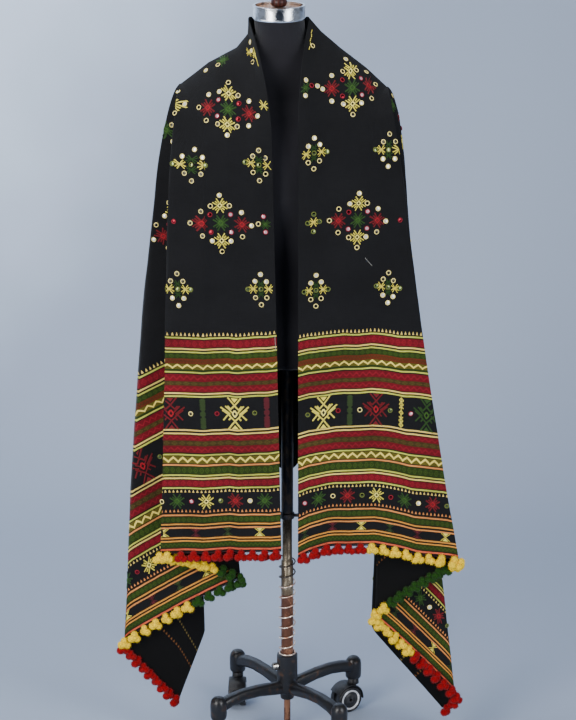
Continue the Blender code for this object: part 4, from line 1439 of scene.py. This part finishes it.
# The pole, thicker inside the spring
PIPE = [(0.0010, 0.0922), (0.0092, 0.0922), (0.0102, 0.0932), (0.0102, 0.1752),
        (0.0127, 0.1754), (0.0127, 0.3100), (0.0127, 0.3840), (0.0102, 0.3870), (0.0102, 0.7590),
        (0.0092, 0.7600), (0.0010, 0.7600)]
HUB_TOP = 0.1740
LEG_REACH = 0.1800
LEG_START = math.radians(37)
# Each section of a leg: distance out, middle height, half height, half width
LEG = [
    (0.008, 0.098, 0.014, 0.0100), (0.035, 0.102, 0.014, 0.0105),
    (0.075, 0.108, 0.0125, 0.0110), (0.115, 0.110, 0.012, 0.0115),
    (0.150, 0.106, 0.0125, 0.0125), (0.172, 0.099, 0.014, 0.0130),
]
TIP = [(0.0105, 0.0722), (0.0150, 0.0722), (0.0172, 0.0760), (0.0175, 0.1040), (0.0160, 0.1130),
       (0.0110, 0.1195), (0.0045, 0.1218), (0.0010, 0.1220)]
BAND_FOOT = 1.5285
# More turned parts: radius, height
BAND = [(0.0476, 1.5286), (0.0520, 1.5286), (0.0525, 1.5292), (0.0525, 1.5320), (0.0518, 1.5326),
        (0.0518, 1.5526), (0.0525, 1.5532), (0.0525, 1.5558), (0.0520, 1.5564), (0.0476, 1.5564)]
CAP = [(0.0010, 1.5286), (0.0465, 1.5286), (0.0469, 1.5300), (0.0469, 1.5480), (0.0440, 1.5519),
       (0.0380, 1.5512), (0.0010, 1.5510)]
KNOB = [(0.0010, 1.5523), (0.0100, 1.5523), (0.0155, 1.5560), (0.0165, 1.5640), (0.0120, 1.5720),
        (0.0150, 1.5800), (0.0170, 1.5890), (0.0140, 1.5980), (0.0060, 1.6025), (0.0010, 1.6030)]
HUB = [(0.0108, 0.1745), (0.0190, 0.1745), (0.0220, 0.1725), (0.0220, 0.0900), (0.0145, 0.0850),
       (0.0145, 0.0722), (0.0010, 0.0722), (0.0010, 0.0905), (0.0108, 0.0905)]
STEM = [(0.0010, 0.0590), (0.0122, 0.0590), (0.0120, 0.0700), (0.0108, 0.0716), (0.0045, 0.0716),
        (0.0045, 0.1000), (0.0010, 0.1006)]
# Turned on an axle: radius, distance along it
WEB = [(0.0038, -0.0050), (0.0246, -0.0050), (0.0250, -0.0040), (0.0250, 0.0040),
       (0.0246, 0.0050), (0.0038, 0.0050)]
TYRE = [(0.0036, 0.0060), (0.0286, 0.0060), (0.0290, 0.0075), (0.0290, 0.0168), (0.0274, 0.0190),
        (0.0236, 0.0190), (0.0228, 0.0176), (0.0196, 0.0176)]
CORE = [(0.0140, 0.0178), (0.0132, 0.0186), (0.0080, 0.0190), (0.0036, 0.0188)]
LIGHT_RING = [(0.0186, 0.0178), (0.0188, 0.0188), (0.0224, 0.0188), (0.0226, 0.0178)]
# The hood's section: distance from the axle, distance sideways
HOOD = [(0.0312, -0.0180), (0.0312, 0.0180), (0.0322, 0.0185), (0.0334, 0.0180),
        (0.0340, 0.0168), (0.0340, -0.0168), (0.0334, -0.0180), (0.0322, -0.0185)]
WHEEL_RADIUS = 0.0290
TRAIL = 0.0180
CASTER_TURNS = [212, 268, 205, 38]


def paint_above(mesh, height):
    """Gives the faces above a height the second material."""
    for face in mesh.polygons:
        face.material_index = int(face.center.z > height)
    return mesh


def spring_mesh(steps=20, sides=8):
    low = HUB_TOP + 0.0003 + SPRING_WIRE
    count = int(SPRING_TURNS * steps)
    shape = bmesh.new()
    rings = []
    for k in range(count + 1):
        turn = 2 * math.pi * k / steps
        out = Vector((math.cos(turn), math.sin(turn), 0))
        share = max(k - steps, 0) / (count - steps)
        centre = out * SPRING_RADIUS + Vector((0, 0, lerp(low, SPRING_TOP, share)))
        rings.append([shape.verts.new(centre + SPRING_WIRE * (
            out * math.cos(a) + Vector((0, 0, math.sin(a))))) for a in angles(sides)])
    skin(shape, rings)
    return to_mesh("spring_coil", shape)


def leg_shape(turn, sections=24, sides=16):
    """One arched leg with a rounded section, run from the hub into its tip."""
    shape = bmesh.new()
    rings = []
    first, last = LEG[0][0], LEG[-1][0]
    for k in range(sections + 1):
        out = lerp(first, last, k / sections)
        mid, high, wide = (between(LEG, 0, out, column) for column in (1, 2, 3))
        ring = []
        for a in angles(sides):
            c, s = math.cos(a), math.sin(a)
            ring.append(shape.verts.new((out, wide * math.copysign(abs(c) ** 0.7, c),
                                         mid + high * math.copysign(abs(s) ** 0.7, s))))
        rings.append(ring)
    skin(shape, rings)
    shape.transform(turn)
    return shape


def add_shape(target, part, index=0):
    """Adds one bmesh to another, and frees it."""
    start = len(target.faces)
    mesh = to_mesh("part", part)
    target.from_mesh(mesh)
    bpy.data.meshes.remove(mesh)
    target.faces.ensure_lookup_table()
    for face in target.faces[start:]:
        face.material_index = index


def leg_turn(k):
    return Matrix.Rotation(LEG_START + k * math.pi / 2, 4, "Z")


def caster_frames(k):
    """A caster's swivel frame and its axle's frame."""
    place = leg_turn(k) @ Vector((LEG_REACH, 0, 0))
    swivel = Matrix.Translation(place) @ Matrix.Rotation(math.radians(CASTER_TURNS[k]), 4, "Z")
    axle = swivel @ Matrix.Translation((TRAIL, 0, WHEEL_RADIUS))
    return swivel, axle @ Matrix.Rotation(math.pi / 2, 4, "X")


def hood_shape(swivel, steps=20):
    """The arched cover over a caster's wheels, with rounded edges."""
    shape = bmesh.new()
    rings = []
    for k in range(steps + 1):
        turn = math.radians(lerp(-5, 150, k / steps))
        out = Vector((-math.cos(turn), 0, math.sin(turn)))
        centre = Vector((TRAIL, 0, WHEEL_RADIUS))
        rings.append([shape.verts.new(centre + out * r + Vector((0, wide, 0)))
                      for r, wide in HOOD])
    skin(shape, rings)
    shape.transform(swivel)
    return shape


def wheel_shape(axle):
    """A pair of wheels with a light ring set in each outer face."""
    shape = bmesh.new()
    for side in (1, -1):
        face = axle @ Matrix.Diagonal((1, 1, side, 1))
        for index, profile in enumerate((soften(TYRE, 2) + CORE, LIGHT_RING)):
            add_shape(shape, lathe(profile, 40, face, True), index)
    bmesh.ops.recalc_face_normals(shape, faces=shape.faces)
    return shape


# What a user may change


def length_setting(name, description, default, low, high):
    return bpy.props.FloatProperty(name=name, description=description, default=default, min=low,
                                   max=high, subtype="DISTANCE", unit="LENGTH")


class ShawlSettings(bpy.types.PropertyGroup):
    columns: bpy.props.IntProperty(
        name="Threads", description="Hanging threads drawn for each half of the cloth",
        default=176, min=40, max=400)
    rows: bpy.props.IntProperty(
        name="Rows", description="Points along each hanging thread", default=72, min=20, max=160)
    thickness: length_setting("Thickness", "Thickness of the woven cloth", 0.0014, 0.0008, 0.002)
    stitch_height: length_setting(
        "Stitch height", "How far embroidery stands off the cloth's middle", 0.0018, 0.001, 0.003)
    mirror_radius: length_setting(
        "Mirror radius", "Radius of each sewn mirror disc", 0.0034, 0.002, 0.006)
    ring_radius: length_setting(
        "Ring radius", "Radius of the stitched ring round each mirror", 0.0041, 0.003, 0.007)


class StudioSettings(bpy.types.PropertyGroup):
    floor: bpy.props.FloatVectorProperty(
        name="Backdrop", description="Colour of the floor and the backdrop", size=3,
        default=srgb(166, 178, 198), min=0.0, max=1.0, subtype="COLOR")
    key: bpy.props.FloatProperty(
        name="Key light", description="Power of the large soft light", default=190.0,
        min=0.0, unit="POWER")
    lens: bpy.props.FloatProperty(
        name="Lens", description="Focal length of the camera", default=129.5, min=20.0,
        unit="CAMERA")


YARN_LOOKS = {"yellow": srgb(228, 212, 84), "bright yellow": srgb(255, 240, 128),
              "red": srgb(108, 8, 18), "bright red": srgb(166, 14, 28),
              "green": srgb(36, 68, 15), "bright green": srgb(56, 92, 24),
              "maroon": srgb(82, 14, 24), "moss": srgb(40, 58, 18), "back": srgb(62, 56, 26),
              "loose": srgb(196, 196, 186)}
# A ring is the same yarn whether its disc is the plain copy or the bright copy with a painted
# highlight.
RING_LOOKS = {"cream": srgb(246, 226, 138), "clear": srgb(246, 226, 138),
              "red": srgb(136, 20, 36), "pink": srgb(136, 20, 36), "green": srgb(104, 112, 46)}
# The discs hold painted reflections: "clear" and the bright red copy are pale, a painted
# highlight, and the plain cream and red ones are darkened, a painted dark reflection.
MIRROR_LOOKS = {"cream": srgb(52, 50, 46), "clear": srgb(246, 244, 236),
                "red": srgb(128, 34, 46), "pink": srgb(246, 196, 204),
                "green": srgb(116, 126, 82)}
TUFT_LOOKS = {"red": srgb(146, 4, 14), "yellow": srgb(255, 214, 24), "green": srgb(30, 66, 14)}


class LayCloth(bpy.types.Operator):
    """Lay the woven cloth over the form"""
    bl_idname = "shawl.lay_cloth"
    bl_label = "Lay the cloth"

    def execute(self, context):
        chosen = context.scene.shawl
        mesh = cloth_mesh(chosen.columns, chosen.rows, chosen.thickness)
        # The wrong side's wool is a copy dimmed with painted shade.
        looks = [cloth_look("woven wool", False), cloth_look("wool wrong side", True)]
        cloth = finish_piece("shawl", mesh, "form", looks, 80)
        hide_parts("shawl_left", "shawl_back", "shawl_right")
        return {"FINISHED"}


class Embroider(bpy.types.Operator):
    """Sew the stars, columns and mirrors on the cloth"""
    bl_idname = "shawl.embroider"
    bl_label = "Embroider"

    def execute(self, context):
        chosen = context.scene.shawl
        work = Stitcher(chosen.stitch_height, chosen.thickness / 2 - SEWN_IN)
        mirrors = []
        band_figures(work, mirrors)
        field_figures(work, mirrors)
        looks = [yarn_look(name, YARN_LOOKS[name]) for name in work.names]
        finish_piece("embroidery", work.finish(), "form", looks, 60)
        radius = chosen.mirror_radius
        disc = to_mesh("disc", lathe([(radius, 0.0), (radius, DISC_HIGH * 0.7),
                                      (radius * 0.6, DISC_HIGH)], 12))
        ring = to_mesh("ring", ring_shape(chosen.ring_radius, RING_WIRE))
        spots = {}
        for u, v, kind in mirrors:
            if MIRROR_EDGE < v < WIDTH - MIRROR_EDGE and abs(u) < HALF_LENGTH - MIRROR_EDGE:
                place = on_cloth(u, v, chosen.thickness / 2 + SEWN_IN)
                tilt = wander(Vector((u * 31, v * 37, 5.0))) * MIRROR_TIP
                row = (place, facing(*flat_to_thread(u, v)) + tilt, u * 40, 1.0)
                spots.setdefault(kind, []).append(row)
        discs, rings, disc_looks, ring_looks = [], [], [], []
        for kind, rows in sorted(spots.items()):
            disc_looks.append(mirror_look(kind, MIRROR_LOOKS[kind]))
            ring_looks.append(yarn_look(f"ring {kind}", RING_LOOKS[kind]))
            discs.append(scatter(rows, disc, disc_looks[-1]))
            rings.append(scatter(rows, ring, ring_looks[-1]))
        finish_piece("mirrors", join_meshes("mirrors", discs), "form", disc_looks, 30)
        finish_piece("mirror_rings", join_meshes("mirror_rings", rings), "form", ring_looks,
                     60)
        return {"FINISHED"}


class TieTrim(bpy.types.Operator):
    """Tie the pompoms along both short ends"""
    bl_idname = "shawl.tie_trim"
    bl_label = "Tie the pompoms"

    def execute(self, context):
        looks = {name: tuft_look(name, colour) for name, colour in TUFT_LOOKS.items()}
        for half, end, seed in ((LEFT, "left", 1), (RIGHT, "right", 2)):
            tuft = tuft_shape(seed)
            points = pompom_points(half)
            colours = [name for name, count in TRIM_COLOURS[half.side] for _ in range(count)]
            meshes = [scatter([row[:4] for row, colour in zip(points, colours) if colour == name],
                              tuft, looks[name]) for name in looks]
            cords = bmesh.new()
            for place, _, _, _, length in points:
                top = half.place(length, below=-STALK_ROOT)
                stalk = [top, top.lerp(place, 0.5), place.copy()]
                add_shape(cords, cord_shape(stalk, STALK_RADIUS))
            hem = [half.place(WIDTH * k / HEM_CUTS, below=HEM_DROP) for k in range(HEM_CUTS + 1)]
            add_shape(cords, cord_shape(hem, HEM_RADIUS))
            meshes.append(to_mesh("cords", cords))
            edging = yarn_look(f"edge {end}", srgb(40, 14, 18))
            finish_piece(f"pompoms_{end}", join_meshes(f"pompoms_{end}", meshes), "form",
                         [*looks.values(), edging], 60, [f"trim_{end}"])
        return {"FINISHED"}


class DressForm(bpy.types.Operator):
    """Cover the form, and finish its neck band, cap and knob"""
    bl_idname = "shawl.dress_form"
    bl_label = "Dress the form"

    def execute(self, context):
        cover = finish_piece("form_cover", torso_mesh(), "form", [jersey_look()])
        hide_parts("torso")
        aside = Matrix.Translation((lean(BAND_FOOT), 0, 0))
        chrome = metal_look("neck chrome", srgb(226, 229, 234), srgb(150, 152, 156),
                            (0.06, 0.3), 0.28, 0.02)
        wood = wood_look("cap wood", srgb(176, 128, 88), srgb(120, 78, 50), 0.42)
        dark = wood_look("knob wood", srgb(74, 34, 28), srgb(36, 16, 15), 0.3)
        turned_piece("chrome_band", lathe(BAND, 96, aside, True), "form", [chrome],
                     "neck_band", 40)
        turned_piece("wood_cap", lathe(soften(CAP), 72, aside), "form", [wood],
                     "neck_cap")
        turned_piece("turned_knob", lathe(soften(KNOB, 4), 40, aside), "form", [dark],
                     "finial")
        return {"FINISHED"}


class FinishPost(bpy.types.Operator):
    """Finish the pole, the sleeve, the collar and the spring"""
    bl_idname = "shawl.finish_post"
    bl_label = "Finish the post"

    def execute(self, context):
        dark = metal_look("sleeve paint", srgb(46, 46, 50), srgb(96, 84, 74), (0.38, 0.5), 0.34,
                          0.012, 0.35, 0.3, 0.8)
        brass = metal_look("pole metal", srgb(168, 118, 88), srgb(92, 56, 40), (0.34, 0.55),
                           0.42, 0.02, 0.45, 0.6, 0.4)
        steel = metal_look("pole steel", srgb(150, 138, 118), srgb(92, 78, 62), (0.34, 0.55),
                           0.42, 0.02, 0.45, 0.7, 0.4)
        coil = metal_look("spring wire", srgb(255, 232, 214), srgb(196, 140, 112), (0.24, 0.4),
                          0.3, 0.02, 1.0, 0.7, 0.7)
        dark_top_wire = metal_look("dark spring wire", srgb(70, 62, 58), srgb(150, 128, 112),
                           (0.4, 0.4), 0.3, 0.02, 1.0, 0.5, 0.7)
        finish_piece("pole_tube", paint_above(to_mesh("pole_tube", lathe(PIPE, 40)), PIPE_STEEL),
                     "stand", [brass, steel], instead=["pole"])
        for node, look in (("sleeve", dark), ("collar", dark), ("foot_rod", brass)):
            repaint(node, look)
        # The coil's top takes the darker wire.
        finish_piece("spring_coil", paint_above(spring_mesh(), SPRING_TOP - DARK_TOP_LENGTH),
                     "stand", [coil, dark_top_wire], instead=["spring"])
        return {"FINISHED"}


class FinishBase(bpy.types.Operator):
    """Finish the hub, the legs, the clamp screw and the casters"""
    bl_idname = "shawl.finish_base"
    bl_label = "Finish the base"

    def execute(self, context):
        enamel = metal_look("black enamel", srgb(23, 23, 26), srgb(78, 58, 46), (0.3, 0.6),
                            0.22, 0.014, 1.0, 0.0, 0.4)
        bright = metal_look("screw steel", srgb(170, 166, 158), srgb(92, 84, 76), (0.25, 0.5),
                            0.4, 0.01)
        plastic = plastic_look("caster plastic", srgb(22, 22, 25), 0.38)
        grey = plastic_look("wheel ring", srgb(196, 198, 202), 0.35)
        repaint("clamp_screw", bright)
        base = lathe(soften(HUB, 2, 0.12), 48, None, True)
        for k in range(4):
            add_shape(base, leg_shape(leg_turn(k)))
            add_shape(base, lathe(soften(TIP, 2), 32, leg_turn(k) @ Matrix.Translation(
                (LEG_REACH, 0, 0))))
        turned_piece("stand_base", base, "stand", [enamel], "base")
        for k in range(4):
            swivel, axle = caster_frames(k)
            fork = hood_shape(swivel)
            add_shape(fork, lathe(soften(WEB, 2), 32, axle, True))
            add_shape(fork, lathe(STEM, 24, swivel))
            caster = f"caster_{k + 1}"
            turned_piece(f"fork_{k + 1}", fork, f"{caster}_fork", [plastic],
                         caster)
            turned_piece(f"wheel_pair_{k + 1}", wheel_shape(axle), f"{caster}_wheels",
                         [plastic, grey], f"wheels_{k + 1}")
        return {"FINISHED"}


# The room: half its width, where its floor starts to bend up, that bend, and the wall's top
ROOM = 7.0
FLOOR_END = 1.2
BEND = 1.2
WALL_HIGH = 6.0
# The dark card behind the camera: distance, half width, height
CARD = (-6.6, 3.2, 3.2)
CAMERA_PLACE = (0.0, -5.1, 2.345)
LOOK_DOWN = 16.6
CAMERA_SHIFT = 0.0011
# Lights: place, aim, size, share of the key light's power, colour
LIGHTS = [
    ("key", (-2.5, -3.3, 2.0), (0, 0, 0.95), (1.9, 3.4), 1.0, (1.0, 0.98, 0.95)),
    ("fill", (2.7, -3.0, 1.9), (0, 0, 0.9), (1.7, 3.2), 0.66, (0.95, 0.97, 1.0)),
    ("back", (-1.2, 0.4, 3.6), (-0.6, 2.6, 1.4), (2.4, 1.6), 0.4, (0.93, 0.96, 1.0)),
]


def strip_mesh(name, rows, look):
    """A strip of faces between rows of two points."""
    shape = bmesh.new()
    rows = [[shape.verts.new(place) for place in row] for row in rows]
    for low, high in zip(rows, rows[1:]):
        shape.faces.new((low[0], low[1], high[1], high[0]))
    mesh = to_mesh(name, shape)
    mesh.materials.append(look)
    mesh.shade_smooth()
    return mesh


def backdrop_look(floor):
    """Plain paper with painted light that makes it lighter up the wall and towards the left, and
    clear to a camera that looks from behind it.
    """
    look, tree, shader = new_look("backdrop", Roughness=0.95, Specular_IOR_Level=0.1)
    where = object_place(tree)
    part = split(tree, where)
    # Painted light: a cloudy rise towards the top left brightens the paper to almost twice its
    # colour.
    rise = calc(tree, "MULTIPLY_ADD", part[0], -0.9, part[2])
    rise = calc(tree, "MULTIPLY_ADD", fuzz(tree, where, 1.1), 1.2, rise)
    painted_light = put(tree, "ShaderNodeMapRange", {0: rise, 1: 1.4, 2: 3.0},
               interpolation_type="SMOOTHSTEP").outputs[0]
    feed(tree, shader, mix(tree, painted_light, tuple(c * 0.9 for c in floor),
                           tuple(min(c * 1.87, 1.0) for c in floor)))
    behind = calc(tree, "MULTIPLY", put(tree, "ShaderNodeNewGeometry").outputs["Backfacing"],
                  put(tree, "ShaderNodeLightPath").outputs["Is Camera Ray"])
    clear = put(tree, "ShaderNodeBsdfTransparent").outputs[0]
    both = put(tree, "ShaderNodeMixShader", {0: behind, 1: shader.outputs[0], 2: clear})
    tree.links.new(both.outputs[0], tree.nodes["Material Output"].inputs[0])
    return look


class SetStudio(bpy.types.Operator):
    """Set the backdrop, the lights and the camera"""
    bl_idname = "shawl.set_studio"
    bl_label = "Set the studio"

    def execute(self, context):
        chosen = context.scene.studio
        curve = [(FLOOR_END + BEND * math.sin(a), BEND - BEND * math.cos(a))
                 for a in (math.pi / 2 * k / 16 for k in range(17))]
        rows = [[(x, y, z) for x in (-ROOM, ROOM)] for y, z in
                [(-ROOM, 0.0), *curve, (FLOOR_END + BEND, WALL_HIGH)]]
        sweep = new_object("backdrop", strip_mesh("backdrop", rows, backdrop_look(chosen.floor)))
        away, half, high = CARD
        rows = [[(x, away, z) for x in (-half, half)] for z in (0.0, high)]
        look = new_look("dark card", Roughness=0.9, Base_Color=srgb(30, 32, 38))[0]
        flag = new_object("dark card", strip_mesh("dark card", rows, look))
        flag.visible_camera = False
        for name, place, aim, size, share, colour in LIGHTS:
            lamp = bpy.data.lights.new(name, "AREA")
            lamp.shape = "RECTANGLE"
            lamp.size, lamp.size_y = size
            lamp.energy = chosen.key * share
            lamp.color = colour
            thing = new_object(name, lamp)
            thing.location = place
            thing.rotation_mode = "QUATERNION"
            thing.rotation_quaternion = (Vector(aim) - Vector(place)).to_track_quat("-Z", "Y")
        world = bpy.data.worlds.new("studio")
        world.use_nodes = True
        sky = world.node_tree.nodes["Background"]
        sky.inputs["Color"].default_value = (*srgb(214, 222, 236), 1.0)
        sky.inputs["Strength"].default_value = 0.42
        context.scene.world = world
        camera = bpy.data.cameras.new("camera")
        camera.sensor_width = 36.0
        camera.lens = chosen.lens
        camera.shift_x = CAMERA_SHIFT
        holder = new_object("camera", camera)
        holder.location = CAMERA_PLACE
        holder.rotation_euler = (math.radians(90 - LOOK_DOWN), 0.0, 0.0)
        context.scene.camera = holder
        return {"FINISHED"}


class ShawlPanel(bpy.types.Panel):
    """Lists the steps and the sizes"""
    bl_idname = "SHAWL_PT_panel"
    bl_label = "Shawl on a form"
    bl_space_type = "VIEW_3D"
    bl_region_type = "UI"
    bl_category = "Shawl"

    def draw(self, context):
        for step in STEPS:
            self.layout.operator(step.bl_idname)
        for group in (context.scene.shawl, context.scene.studio):
            for name in group.__annotations__:
                self.layout.prop(group, name)


STEPS = (SetStudio, LayCloth, Embroider, TieTrim, DressForm, FinishPost, FinishBase)
CLASSES = (ShawlSettings, StudioSettings, *STEPS, ShawlPanel)


def register():
    for kind in CLASSES:
        bpy.utils.register_class(kind)
    bpy.types.Scene.shawl = bpy.props.PointerProperty(type=ShawlSettings)
    bpy.types.Scene.studio = bpy.props.PointerProperty(type=StudioSettings)


def unregister():
    del bpy.types.Scene.studio
    del bpy.types.Scene.shawl
    for kind in reversed(CLASSES):
        bpy.utils.unregister_class(kind)


def main():
    register()
    bpy.ops.shawl.set_studio()
    bpy.ops.shawl.lay_cloth()
    bpy.ops.shawl.embroider()
    bpy.ops.shawl.tie_trim()
    bpy.ops.shawl.dress_form()
    bpy.ops.shawl.finish_post()
    bpy.ops.shawl.finish_base()


if __name__ == "__main__":
    main()
